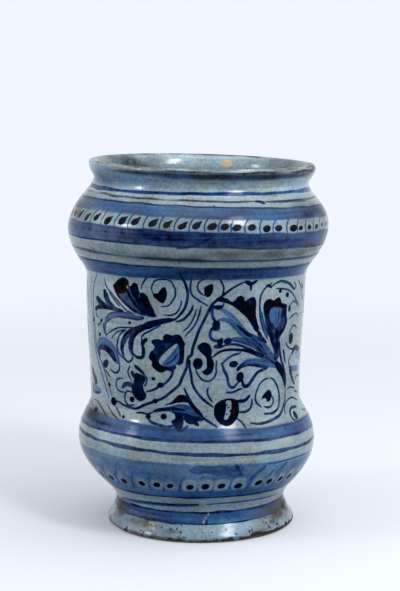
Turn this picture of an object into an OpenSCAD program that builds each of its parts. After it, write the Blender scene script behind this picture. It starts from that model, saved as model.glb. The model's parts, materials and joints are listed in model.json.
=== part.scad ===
// Waisted drug jar of tin-glazed earthenware.
// Five thrown clay sections are luted one on another with slip, then glazed outside and inside.
// The jar stands on z = 0 and is turned about the z axis. All lengths are in millimetres.

/* [Heights, each measured from the level below] */
// Table to where the foot's rounded edge meets its flare
foot_edge_h = 4; // [3:0.5:7]
// Table to the narrow ankle above the foot
ankle_h = 17; // [12:0.5:24]
// Ankle to the widest point of the lower drum
lower_rise = 41; // [30:1:55]
// Widest point of the lower drum to the lower end of the waist
lower_fall = 28; // [20:1:40]
// Length of the waist
waist_h = 80; // [50:1:120]
// Upper end of the waist to the widest point of the shoulder
shoulder_rise = 32; // [22:1:45]
// Widest point of the shoulder to the narrow neck
shoulder_fall = 30; // [20:1:42]
// Neck to the widest point of the lip
lip_rise = 9.5; // [6:0.5:16]

/* [Outside radii] */
// Edge of the face that stands on the table
base_r = 60.5; // [54:0.5:62]
// Foot where its rounded edge meets its flare
foot_r = 62; // [60:0.5:72]
// Ankle
ankle_r = 56; // [50:0.5:60]
// Widest point of the lower drum
lower_r = 78.5; // [72:0.5:88]
// Lower end of the waist
waist_foot_r = 69.3; // [62:0.1:75]
// Upper end of the waist
waist_head_r = 72; // [64:0.5:78]
// Widest point of the shoulder
shoulder_r = 85.5; // [78:0.5:95]
// Neck
neck_r = 70; // [64:0.5:76]
// Widest point of the lip
lip_r = 74; // [71:0.5:84]

/* [Walls and coats] */
// Thickness of the thrown wall with both coats, square to the wall
wall_t = 6; // [4.5:0.5:9]
// Thickness of the wall at the narrow throat, with both coats
throat_wall_t = 5.4; // [4:0.2:8]
// Thickness of the floor with the inside coat
floor_t = 9; // [6:0.5:14]
// Radius of the hollow corner between floor and wall
floor_corner_r = 12; // [6:1:20]
// Radius of the rounded outer half of the lip
lip_round_r = 2.5; // [1.5:0.5:4]
// Thickness of each glaze coat
glaze_t = 0.5; // [0.3:0.1:1]
// Thickness of the slip in each seam
slip_t = 1; // [0.5:0.1:2]

/* [Throat, foot and seams] */
// Neck down to the seam where the straight throat starts
throat_drop = 7; // [5:0.5:10]
// Neck up to where the mouth starts to flare
throat_lift = 2; // [0:0.5:4]
// Radius of the hollow under the foot, at the table
recess_base_r = 50; // [40:0.5:54]
// Radius of the hollow under the foot, at its top
recess_top_r = 46; // [38:0.5:50]
// Height above the table at which the outside coat stops
bare_edge_h = 1.5; // [0.5:0.5:2]
// Lean of the foot's rounded edge at the table, as radius gained per height
edge_lean = 1.2; // [0.6:0.1:2]
// Power of the foot's flare, where 1 is a straight cone
flare_power = 1.5; // [1:0.1:2.5]

/* [Swell of the bulges] */
// Share of the height from hollow to bulge at which the curve turns
turn_height = 0.32; // [0.2:0.02:0.5]
// Share of the swell that is reached there
turn_swell = 0.35; // [0.2:0.02:0.5]
// Steepness of the curve there
turn_slope = 1.8; // [1.4:0.1:2.4]

/* [Hidden] */

// Tallest stretch of wall that is drawn as one straight step
step_h = 2.5;
// Turn of one step round the lip, the mouth and the floor's corner, in degrees
step_turn = 15;
// Height over which the slope of the wall is measured
slope_h = 0.02;
// Two heights closer than this are one height
same_h = 0.001;
$fn = 180;

clay_colour = "#b78c68";
slip_colour = "#cdaa86";
outer_colour = "#9fb6cc";
inner_colour = "#b7c6cf";

// Levels above the table
lower_z = ankle_h + lower_rise;
waist_foot_z = lower_z + lower_fall;
waist_head_z = waist_foot_z + waist_h;
shoulder_z = waist_head_z + shoulder_rise;
neck_z = shoulder_z + shoulder_fall;
lip_z = neck_z + lip_rise;
top_z = lip_z + lip_round_r;
floor_z = ankle_h + floor_t;

// Undersides of the four seams
foot_seam_z = ankle_h - slip_t;
lower_seam_z = waist_foot_z;
upper_seam_z = waist_head_z;
neck_seam_z = neck_z - throat_drop;

// Straight throat and crest of the lip
throat_r = neck_r - throat_wall_t;
throat_top_z = neck_z + throat_lift;
crest_r = lip_r - lip_round_r;

// Lean of the foot's flare where it meets the rounded edge
flare_lean = -flare_power * (foot_r - ankle_r) / (ankle_h - foot_edge_h);

// A cubic from value a to value b with slopes ma and mb, over a length w, at the share s of it
function cubic(a, ma, b, mb, w, s) =
    a * (2 * pow(s, 3) - 3 * s * s + 1) + w * ma * (pow(s, 3) - 2 * s * s + s)
    + b * (3 * s * s - 2 * pow(s, 3)) + w * mb * (pow(s, 3) - s * s);

// The swell from a hollow (0) to a bulge (1), level at both ends, at the share t of the height
function swell(t) = t < turn_height
    ? cubic(0, 0, turn_swell, turn_slope, turn_height, t / turn_height)
    : cubic(turn_swell, turn_slope, 1, 0, 1 - turn_height, (t - turn_height) / (1 - turn_height));

// Radius at height z between a hollow and a bulge
function ogee(z, hollow_z, hollow_r, bulge_z, bulge_r) =
    hollow_r + (bulge_r - hollow_r) * swell((z - hollow_z) / (bulge_z - hollow_z));

// Radius of the jar's outside at height z
function outside(z) =
    z < foot_edge_h ? cubic(base_r, edge_lean, foot_r, flare_lean, foot_edge_h, z / foot_edge_h)
    : z < ankle_h ? ankle_r + (foot_r - ankle_r) * pow((ankle_h - z) / (ankle_h - foot_edge_h), flare_power)
    : z < lower_z ? ogee(z, ankle_h, ankle_r, lower_z, lower_r)
    : z < waist_foot_z ? ogee(z, waist_foot_z, waist_foot_r, lower_z, lower_r)
    : z < waist_head_z ? cubic(waist_foot_r, 0, waist_head_r, 0, waist_h, (z - waist_foot_z) / waist_h)
    : z < shoulder_z ? ogee(z, waist_head_z, waist_head_r, shoulder_z, shoulder_r)
    : z < neck_z ? ogee(z, neck_z, neck_r, shoulder_z, shoulder_r)
    : ogee(min(z, lip_z), neck_z, neck_r, lip_z, lip_r);

// Lean of the outside at height z, as radius gained per height
function lean(z) = (outside(z + slope_h / 2) - outside(z - slope_h / 2)) / slope_h;

// Radius at height z and depth d under the outside, measured square to the wall
function layer_r(z, d) = outside(z) - d * sqrt(1 + pow(lean(z), 2));

// Radius of the layer at d behind the inside surface, where the shoulder never closes in on the throat
function inside_r(z, d) =
    z > neck_seam_z - same_h ? throat_r + d
    : z > shoulder_z ? max(throat_r + d, layer_r(z, wall_t - d))
    : layer_r(z, wall_t - d);

// All heights at which the walls have a point, with every seam among them
edge_middle_z = (bare_edge_h + foot_edge_h) / 2;
levels = [0, bare_edge_h, edge_middle_z, foot_edge_h, foot_seam_z, foot_seam_z + slip_t, lower_z,
          lower_seam_z, lower_seam_z + slip_t, upper_seam_z, upper_seam_z + slip_t, shoulder_z,
          neck_seam_z, neck_seam_z + slip_t, neck_z, lip_z];
heights = concat([for (i = [0 : len(levels) - 2])
    let (n = ceil((levels[i + 1] - levels[i]) / step_h))
    for (k = [0 : n - 1]) levels[i] + (levels[i + 1] - levels[i]) * k / n], [lip_z]);

// Heights from one level to another, upward
function span(from_z, to_z) =
    [for (z = heights) if (z > from_z - same_h && z < to_z + same_h) z];
function reversed(points) = [for (i = [len(points) - 1 : -1 : 0]) points[i]];

// Side of the wall at depth d under the outside, upward
function outer_side(d, from_z, to_z) = [for (z = span(from_z, to_z)) [layer_r(z, d), z]];

// Side of the wall at d behind the inside surface, upward
function inner_side(d, from_z, to_z) = [for (z = span(from_z, to_z)) [inside_r(z, d), z]];

// Rounded outer half of the lip, from its widest point up to the crest
function lip_arc(d) = [for (a = [step_turn : step_turn : 90])
    [crest_r + (lip_round_r - d) * cos(a), lip_z + (lip_round_r - d) * sin(a)]];

// Flare of the mouth, from the top of the straight throat up to the crest
function mouth_flare(d) = [for (a = [0 : step_turn : 90])
    [crest_r - (crest_r - throat_r - d) * cos(a), throat_top_z + (top_z - throat_top_z - d) * sin(a)]];

// Hollow corner between floor and wall, from the floor's centre outward
corner_turn = atan2(1, lean(floor_z));
corner_top_z = floor_z + floor_corner_r * (1 - cos(corner_turn));
corner_centre_r = layer_r(corner_top_z, wall_t) - floor_corner_r * sin(corner_turn);
corner_steps = ceil(corner_turn / step_turn);
function floor_side(d) = concat([[0, floor_z - d]],
    [for (i = [0 : corner_steps]) let (a = corner_turn * i / corner_steps)
        [corner_centre_r + (floor_corner_r + d) * sin(a),
         floor_z + floor_corner_r - (floor_corner_r + d) * cos(a)]]);

// First wall height above the floor's corner
wall_start_z = corner_top_z + step_h / 2;

// The whole inside at d behind its surface, from the floor's centre up to the crest
function inside_line(d) = concat(floor_side(d), inner_side(d, wall_start_z, neck_seam_z), mouth_flare(d));

// A plain section of wall between two levels, without its coats
module wall_section(from_z, to_z)
    rotate_extrude()
        polygon(concat(outer_side(glaze_t, from_z, to_z), reversed(inner_side(glaze_t, from_z, to_z))));

// A ring of slip that fills a seam between the coats
module seam_ring(seam_z) color(slip_colour) wall_section(seam_z, seam_z + slip_t);

// Radius of the hollow under the foot at height z
function recess_r(z) = recess_base_r + (recess_top_r - recess_base_r) * z / ankle_h;

// A ring under the bowl, open to the hollow of the foot
module foot_section(from_z, to_z)
    rotate_extrude()
        polygon(concat(outer_side(glaze_t, from_z, to_z), [[recess_r(to_z), to_z], [recess_r(from_z), from_z]]));

// Flared collar that the jar stands on
module foot_ring() color(clay_colour) foot_section(0, foot_seam_z);

// Slip between the collar and the bowl
module foot_slip() color(slip_colour) foot_section(foot_seam_z, ankle_h);

// Floor and lower drum, thrown as one bowl
module lower_bowl()
    color(clay_colour)
        rotate_extrude()
            polygon(concat([[0, ankle_h]],
                outer_side(glaze_t, ankle_h, lower_seam_z),
                reversed(inner_side(glaze_t, wall_start_z, lower_seam_z)),
                reversed(floor_side(glaze_t))));

// Slip between the bowl and the waist
module lower_slip() seam_ring(lower_seam_z);

// Tall drawn-in wall of the waist
module waist_wall() color(clay_colour) wall_section(lower_seam_z + slip_t, upper_seam_z);

// Slip between the waist and the shoulder
module upper_slip() seam_ring(upper_seam_z);

// Swelling drum of the shoulder
module shoulder_drum() color(clay_colour) wall_section(upper_seam_z + slip_t, neck_seam_z);

// Slip between the shoulder and the neck
module neck_slip() seam_ring(neck_seam_z);

// Neck with its turned-out lip
module neck_rim()
    color(clay_colour)
        rotate_extrude()
            polygon(concat([[throat_r + glaze_t, neck_seam_z + slip_t]],
                outer_side(glaze_t, neck_seam_z + slip_t, lip_z),
                lip_arc(glaze_t),
                reversed([for (p = mouth_flare(glaze_t)) if (p[0] < crest_r - same_h) p])));

// Painted coat on the outside, from just above the table to the crest of the lip
module outer_glaze()
    color(outer_colour)
        rotate_extrude()
            polygon(concat(outer_side(0, bare_edge_h, lip_z), lip_arc(0),
                reversed(lip_arc(glaze_t)), reversed(outer_side(glaze_t, bare_edge_h, lip_z))));

// Plain coat on the inside, from the crest of the lip down over the floor
module inner_glaze()
    color(inner_colour)
        rotate_extrude()
            polygon(concat(inside_line(0), reversed(inside_line(glaze_t))));

foot_ring();
foot_slip();
lower_bowl();
lower_slip();
waist_wall();
upper_slip();
shoulder_drum();
neck_slip();
neck_rim();
outer_glaze();
inner_glaze();
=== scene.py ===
"""A waisted, tin-glazed drug jar painted in blue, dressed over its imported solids."""

import json
import math

import bmesh
import bpy
import numpy as np
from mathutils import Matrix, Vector
from mathutils.bvhtree import BVHTree


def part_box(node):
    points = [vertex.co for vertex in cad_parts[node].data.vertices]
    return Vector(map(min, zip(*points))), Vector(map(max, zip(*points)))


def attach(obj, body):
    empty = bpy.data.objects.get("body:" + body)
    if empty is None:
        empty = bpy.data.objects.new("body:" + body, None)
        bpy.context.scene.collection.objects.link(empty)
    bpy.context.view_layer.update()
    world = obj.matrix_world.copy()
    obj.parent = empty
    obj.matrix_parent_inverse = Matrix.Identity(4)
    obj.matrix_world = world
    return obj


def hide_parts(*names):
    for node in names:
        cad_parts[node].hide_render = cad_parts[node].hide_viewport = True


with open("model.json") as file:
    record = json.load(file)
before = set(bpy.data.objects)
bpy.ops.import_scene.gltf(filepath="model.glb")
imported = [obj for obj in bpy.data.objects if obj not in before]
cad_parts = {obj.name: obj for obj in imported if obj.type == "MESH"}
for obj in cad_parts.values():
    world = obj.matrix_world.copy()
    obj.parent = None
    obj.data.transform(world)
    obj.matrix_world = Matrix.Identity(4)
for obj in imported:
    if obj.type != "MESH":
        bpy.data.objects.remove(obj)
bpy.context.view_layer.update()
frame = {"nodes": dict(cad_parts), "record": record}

bl_info = {
    "name": "Albarello",
    "version": (1, 0, 0),
    "blender": (4, 5, 0),
    "location": "View3D > Sidebar > Albarello",
    "description": "Builds a waisted tin-glazed drug jar over its packed solids",
    "category": "Add Mesh",
}

# Lengths are in mm, and turned into metres where the meshes are made
MM = 0.001
PHOTO_HIGH_PX = 591
BODY = "root"
# Radii at which mm along the wall are turned into angles
SCROLL_R = 70.0
SHOULDER_R = 82.0
DRUM_R = 74.0
FOOT_R = 62
STAIN_R = 64
THROAT_R = 66
# Where rays towards the coats start, and the distance that stands for no mark near by
FAR = 400.0
CLEAR = 9.0


# Pigment loads, from bare glaze at 0 to the thickest touch at 1, and beyond it colour that fired brown

LINE_LOAD = 0.78
STEM_LOAD = 0.84
BLUE_LOAD = 0.79
NAVY_LOAD = 0.86
DEEP_LOAD = 0.92
FULL_LOAD = 1.0
BURNT_LOAD = 1.15


def line(width, *points):
    """A thin outline, drawn with the tip of the brush."""
    return {"kind": "ink", "widths": (width, width), "load": LINE_LOAD, "points": points}


def stroke(start, end, load, *points):
    """A loaded stroke whose width goes from start to end."""
    return {"kind": "ink", "widths": (start, end), "load": load, "points": points}


def sweep(start, end, pale, deep, *points):
    """A stroke of thin colour that goes from pale to deep."""
    return {"kind": "wash", "widths": (start, end), "load": (pale, deep), "points": points}


def blot(load, *points):
    """A filled dark shape."""
    return {"kind": "blot", "load": load, "points": points}


def pool(load, *points):
    """A filled shape of thin colour."""
    return {"kind": "pool", "load": load, "points": points}


def lift(*points, soft=0.5, keep=0.0):
    """A shape left free of paint, or nearly so."""
    return {"kind": "lift", "load": keep, "soft": soft, "points": points}


def dab(u, z, wide, high, load=FULL_LOAD):
    """One touch of the brush, about oval."""
    corners = []
    for turn in range(8):
        angle = turn * math.pi / 4
        corners.append((u + wide / 2 * math.cos(angle), z + high / 2 * math.sin(angle)))
    return blot(load, *corners)


# The scroll round the waist: points are (mm to the right of the front, mm above the table)

HEART_BUD = [
    blot(FULL_LOAD, (-26.5, 162), (-23.5, 162.5), (-21.5, 165), (-19, 166.5), (-17.5, 162), (-19, 157),
         (-21, 156.5), (-24, 158.5), (-26, 160)),
    line(1.0, (-26.5, 162), (-27.5, 165.5), (-26.5, 168.5), (-24.5, 170.5), (-20, 171.5), (-16, 171),
         (-14, 168.5), (-12.5, 165), (-12.5, 161), (-14, 158), (-16.5, 155), (-21, 154)),
    line(1.0, (-34.5, 164.5), (-34, 167), (-32, 170), (-29.5, 172.5)),
    line(1.0, (-8.5, 158.5), (-9, 155), (-11.5, 150.5), (-15, 149), (-19.5, 149)),
]

UPPER_STEMS = [
    stroke(1.6, 1.6, STEM_LOAD, (-10, 177), (-8.5, 173.5), (-6.5, 169), (-5, 164), (-5, 159), (-6.5, 153.5),
           (-9.5, 149), (-12.5, 146)),
    stroke(1.5, 1.5, STEM_LOAD, (-1.5, 155.5), (-2.5, 152), (-5, 148.5), (-8, 146), (-11.5, 145)),
    line(1.1, (-1.8, 176), (-2.8, 172), (-3.3, 168), (-3.1, 164.5), (-1.8, 161.5), (2.3, 158.3),
         (7.6, 155)),
    line(0.9, (0.8, 153), (-0.1, 150), (-1.8, 145.5), (-4.2, 141.8), (-7, 139.2)),
    line(1.0, (3.5, 155), (2.6, 150.5), (1, 145.5), (-1.5, 141), (-6, 136)),
]

LEFT_LEAF = [
    blot(0.7, (-57, 165), (-54.5, 167), (-51.5, 169.5), (-47, 171), (-44, 169.5), (-43.5, 166), (-42, 166),
         (-40, 168), (-37.5, 167.5), (-36.5, 165), (-35.5, 162.5), (-33.5, 162), (-31.5, 161.5), (-30, 158),
         (-28, 154), (-26, 150.5), (-24, 148), (-25, 147), (-31, 147.5), (-35.5, 148), (-40, 149.5),
         (-45, 152.5), (-50, 156), (-54, 160), (-56.5, 163.5)),
    blot(BURNT_LOAD, (-56.5, 165), (-54, 167), (-51, 169), (-47, 170.5), (-44.5, 169), (-44, 165),
         (-46, 162), (-50, 160.5), (-53, 160.5), (-55.5, 162.5)),
    blot(FULL_LOAD, (-42.5, 165), (-40, 167.5), (-37.5, 167), (-36.5, 164), (-36, 161), (-38, 158.5),
         (-41, 160.5)),
    stroke(6.0, 2.8, FULL_LOAD, (-33.5, 160.5), (-31, 156), (-28.2, 152), (-25.5, 148.8)),
    stroke(3.0, 2.0, DEEP_LOAD, (-38.5, 160), (-35, 155), (-31, 150.8), (-26.5, 148)),
    stroke(1.6, 1.2, DEEP_LOAD, (-44.5, 162), (-41, 157), (-36.5, 152.5), (-32, 149)),
    stroke(1.4, 1.2, NAVY_LOAD, (-56, 163.5), (-52.5, 159), (-47, 154.8), (-41, 151.2), (-34, 148.8)),
    lift((-45.3, 165.6), (-44.4, 165.8), (-44.2, 164.2), (-45, 163.8)),
    stroke(3.0, 2.6, NAVY_LOAD, (-77.5, 147), (-73, 149), (-66, 150), (-56.5, 150), (-48.5, 149.3)),
    dab(-76.5, 147.6, 3.6, 3.2, NAVY_LOAD),
    stroke(4.6, 2.6, NAVY_LOAD, (-75, 154.5), (-69.5, 152.2), (-62, 150.5)),
    stroke(5.4, 2.8, NAVY_LOAD, (-65.5, 160), (-63.5, 156.5), (-60.5, 153), (-55, 150.3)),
    line(1.0, (-65.5, 168.5), (-64.8, 165), (-62, 162), (-58, 159.5), (-54, 156.5), (-50, 153.5),
         (-46, 150.5), (-41, 148.7)),
    line(1.0, (-60.5, 160), (-57, 157), (-53, 153.5), (-50.5, 152)),
    sweep(2.8, 3.6, 0.78, 0.55, (-33, 146.3), (-38, 146.1), (-45, 146.6), (-52, 146.3), (-58, 145),
          (-62.5, 142.4), (-65.5, 139.2)),
    sweep(3.2, 1.6, 0.55, 0.72, (-65.6, 139.4), (-66.4, 136), (-65.8, 133.5), (-64.4, 131.6)),
    stroke(1.4, 0.9, LINE_LOAD, (-33.5, 145.2), (-38, 145), (-44, 145.2), (-50, 145)),
    line(0.9, (-39, 148.2), (-47, 148.6), (-55, 147.8), (-61, 146), (-65, 143)),
    line(1.0, (-67.5, 139), (-67.5, 136.5), (-66.6, 134), (-64.5, 132)),
    line(1.0, (-64, 132), (-61, 134), (-56.5, 136.5), (-51, 138.5), (-45, 139), (-40, 139.5),
         (-37.5, 140.5)),
    line(0.9, (-59, 130.5), (-56, 133.5), (-52, 136), (-47, 137.5)),
    line(0.9, (-77, 145.5), (-76, 143), (-74, 142)),
    line(1.1, (-75, 137), (-72, 138), (-70.5, 140)),
    dab(-69.8, 140.8, 2.6, 2.2),
    dab(-43, 142.3, 2.0, 1.9),
    dab(-81.5, 139.5, 2.8, 2.6),
    dab(-72.5, 131.2, 2.8, 2.6),
]

ACANTHUS = [
    stroke(2.4, 5.2, DEEP_LOAD, (-12.5, 146.3), (-17, 145.6), (-22, 144.4), (-28, 142.4), (-33, 140.4)),
    stroke(4.6, 3.2, BLUE_LOAD, (-30, 141.4), (-36, 138.8), (-40, 135), (-42.2, 130.5), (-42.4, 126),
           (-41, 122)),
    stroke(3.2, 4.2, BLUE_LOAD, (-36, 139), (-40, 137.6), (-44.5, 135), (-47.5, 131.5)),
    stroke(4.2, 1.8, BLUE_LOAD, (-46.5, 132.5), (-49, 128), (-49.6, 124), (-48.3, 119.5)),
    stroke(1.4, 1.2, DEEP_LOAD, (-33, 139), (-37.5, 136.2), (-40.3, 132), (-41, 127)),
    stroke(1.4, 1.2, DEEP_LOAD, (-42, 138), (-46.5, 134.8), (-49.6, 130), (-50.6, 125)),
    line(1.2, (-46, 137.5), (-50.5, 134.5), (-53, 130.5), (-54, 126), (-53, 122.5), (-50, 119.5),
         (-48.5, 118.8)),
    line(1.3, (-49, 121), (-47.5, 118.5), (-44.5, 117), (-41.7, 118.8), (-41, 122)),
    stroke(1.8, 2.6, STEM_LOAD, (-40.5, 122.6), (-38, 120.8), (-35, 120.7), (-33.4, 122), (-33, 126),
           (-33.8, 128.6)),
    stroke(2.8, 2.4, DEEP_LOAD, (-33.9, 129), (-33, 131), (-30.5, 133)),
    line(1.0, (-34, 131), (-34.2, 133.5), (-32.5, 136), (-30, 137.4), (-25.5, 139.8), (-21.5, 142)),
]

CENTRAL_FLOWER = [
    blot(NAVY_LOAD, (-27, 132.5), (-23, 133.5), (-20, 133), (-19.5, 135.5), (-17.5, 137), (-14, 136.2),
         (-11, 137), (-8.5, 136), (-7, 133), (-5.8, 130.8), (-7.3, 128), (-6.8, 125), (-7.8, 122),
         (-7, 119), (-9.5, 117.3), (-12, 118), (-11.5, 115.5), (-14.5, 113), (-17, 113.8), (-21.5, 112),
         (-25.5, 114), (-27.5, 116.5), (-27.2, 118.6), (-29.4, 121), (-28.5, 124.6), (-26, 126.6),
         (-25.4, 128.6), (-27, 130.6)),
    blot(FULL_LOAD, (-19.6, 133), (-19.2, 135.4), (-17, 136.8), (-14, 136), (-11, 136.8), (-8.6, 135.6),
         (-7.2, 132.6), (-9, 131.2), (-13, 132.2), (-17, 131.4)),
    blot(FULL_LOAD, (-28.8, 121), (-27.8, 124), (-25.6, 123.6), (-24.6, 119.6), (-22.4, 117), (-18, 116),
         (-15, 114), (-17, 114), (-21.5, 112.4), (-25.2, 114.2), (-27, 116.6), (-26.8, 119)),
    stroke(2.6, 2.2, FULL_LOAD, (-7.9, 131), (-7.7, 125), (-8, 119.4)),
    pool(0.7, (-24.4, 130.8), (-20.6, 131.6), (-16, 131.2), (-18.6, 127.6), (-22.2, 124), (-24.6, 122.8),
         (-25, 126.6)),
    lift((-22.4, 118.4), (-22, 121), (-18.6, 125), (-14.4, 128.8), (-11, 130.9), (-9.8, 128), (-9.6, 123),
         (-10.4, 119.4), (-12.8, 117.4), (-16, 116.4), (-20, 116.6)),
    pool(0.52, (-20.8, 117.2), (-18, 120.6), (-14.8, 124.4), (-12, 128), (-10.6, 130.2), (-9.2, 127),
         (-9, 122.6), (-10, 119.2), (-12.6, 117), (-16, 116)),
    sweep(1.6, 1.4, 0.72, 0.76, (-18, 117.4), (-13.6, 120.4), (-10.6, 124.6)),
    sweep(1.0, 1.0, 0.62, 0.66, (-16.4, 120.6), (-13, 124.4), (-10.8, 128.4)),
]

MAIN_STEM = [
    stroke(1.7, 1.7, STEM_LOAD, (31, 169.5), (26, 167.5), (21.5, 165), (17.5, 162), (13.5, 159),
           (10, 155.5), (7.5, 150.5), (5, 145), (2.5, 139.5), (1, 135), (-1, 129), (-2, 124), (-4, 122),
           (-5, 116), (-7.5, 110), (-10, 104.5), (-15, 100), (-20, 96), (-25.5, 93.5), (-33, 90.5),
           (-39, 87.5), (-44, 87.5), (-49.5, 88.5), (-54.5, 90), (-58, 89.5)),
    dab(-25.5, 93.5, 3.6, 3.2),
    dab(-59, 89.5, 5.6, 5.4),
    stroke(2.8, 1.8, DEEP_LOAD, (31, 169.4), (34.8, 167.8), (38.6, 169.4)),
    stroke(2.0, 1.2, STEM_LOAD, (34.6, 168), (34.9, 163.5)),
]

ROUND_BUD = [
    blot(FULL_LOAD, (5.5, 167), (8, 168.3), (10, 168.5), (10.5, 165), (9, 161.5), (7, 160.5), (5.5, 162.5),
         (5, 165.5)),
    line(1.0, (5.5, 161.5), (2.5, 163.5), (1, 166.5), (1.5, 169.5), (3.5, 171.5), (7, 173)),
    line(1.0, (13.5, 172.5), (15.5, 169.5), (17, 166), (16.5, 162.5), (15.5, 160)),
]

RIGHT_LEAF = [
    sweep(2.6, 5.5, 0.4, 0.66, (14.5, 153.6), (19, 150.5), (23.5, 146.5), (27.5, 142), (31, 137.5),
          (36, 132), (41, 127.5), (46, 123)),
    sweep(2.4, 5.0, 0.5, 0.72, (13.5, 145.3), (17, 146.2), (21, 145), (25, 141.4), (29.5, 137), (34, 132.5),
          (39, 129), (45, 125)),
    sweep(3.2, 4.0, 0.66, 0.74, (22, 133), (26, 133), (30.5, 131.8), (36, 129.5), (42, 126.5), (48, 122.5)),
    sweep(4.4, 5.0, 0.74, 0.6, (37, 134.5), (42, 130.5), (47, 126), (52, 120.5), (58, 114.5)),
    sweep(3.0, 6.0, 0.62, 0.7, (44, 122), (49, 119), (54, 116.5), (60, 113)),
    stroke(1.6, 2.8, NAVY_LOAD, (26.5, 142), (30, 138.8), (33.5, 136), (37, 134.4)),
    stroke(1.8, 1.2, LINE_LOAD, (37, 134), (42, 129.8), (46, 125.8)),
    stroke(1.2, 1.6, LINE_LOAD, (31, 134.5), (36, 131), (41, 127.2), (47, 121.8)),
    blot(FULL_LOAD, (11.5, 158), (13.5, 160), (16, 160.3), (19.5, 159), (22.5, 157), (24.5, 158), (26, 160),
         (28.5, 160.5), (30.5, 159), (31, 157), (33, 158), (36, 159.3), (38, 158.5), (39, 155), (38.8, 150),
         (39.5, 146), (41, 141.5), (42, 138.5), (40.5, 136.8), (38.5, 138), (36, 142), (32.5, 146.5),
         (28, 150.5), (24, 153.8), (20, 156), (15.5, 157.3)),
    stroke(2.8, 1.8, NAVY_LOAD, (41.5, 136.8), (44, 133), (48.3, 129)),
    line(1.8, (17.3, 156), (16, 154), (13.8, 153.3), (11.3, 154.3), (10.2, 152), (10.6, 148.5), (12, 145.5),
         (13, 143.5)),
    line(1.8, (14.8, 142), (14.6, 140), (12.3, 139.9), (10.6, 140.6), (9.4, 138), (9.6, 135.3),
         (11.3, 133.4), (14.5, 132.6), (16.6, 133.6), (16.4, 131), (14.6, 129.6), (12.6, 129.2),
         (15.5, 128.6), (18.5, 129.6)),
    dab(13, 142.9, 5.0, 5.6, DEEP_LOAD),
    dab(14.2, 154, 5.6, 2.8, DEEP_LOAD),
    dab(15.6, 131.4, 3.6, 4.8, DEEP_LOAD),
    dab(20.6, 132.2, 5.2, 4.4, NAVY_LOAD),
    line(1.5, (18, 129.4), (22, 130.2), (27, 129.6), (32, 127.8), (36, 126), (41.5, 123)),
    stroke(1.4, 1.8, DEEP_LOAD, (11.5, 122.5), (14.5, 125), (18, 126.4), (23, 126.7), (28, 126.2),
           (33, 125.2)),
    stroke(1.8, 3.4, DEEP_LOAD, (30, 126.2), (36, 124.6), (41, 122.6), (46, 120.4)),
    line(1.3, (17.3, 118), (20.5, 121), (24.2, 123), (29.5, 124.2)),
    line(1.7, (17, 118.3), (18.5, 114), (20, 111), (21, 108.5), (21.5, 105), (23.5, 102.5), (25.5, 102.5),
         (27.5, 104.5), (29, 106)),
    dab(29.5, 108.7, 5.2, 6.6, DEEP_LOAD),
    stroke(2.6, 1.8, STEM_LOAD, (31, 106), (32.4, 102.8), (35, 102.5), (37.5, 105), (40, 108),
           (42.5, 110.5), (46, 111.5), (50, 112)),
    dab(24.8, 117.3, 6.0, 4.2, NAVY_LOAD),
    sweep(3.4, 5.0, 0.66, 0.6, (28, 114), (30.5, 116), (34.5, 117.8), (40, 117.8), (46, 116.6), (53, 115),
          (60, 112.5)),
    stroke(2.8, 1.6, NAVY_LOAD, (27.6, 113.4), (29.5, 115.4), (32.5, 117.2)),
    stroke(1.4, 1.8, STEM_LOAD, (30.5, 114.8), (35, 115.9), (40, 115.2), (45, 113.9), (51, 112.6)),
    stroke(1.0, 1.6, LINE_LOAD, (47, 120.2), (52, 117.6), (57, 114.4)),
    stroke(5.4, 2.8, DEEP_LOAD, (58.5, 114.2), (62, 111), (65.8, 106.5), (68.4, 102), (69.8, 97.5)),
    stroke(2.0, 1.8, STEM_LOAD, (60.5, 128), (61.5, 122), (63.5, 116.5), (66.5, 111), (69.4, 104.5),
           (70.2, 98.5)),
]

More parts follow.
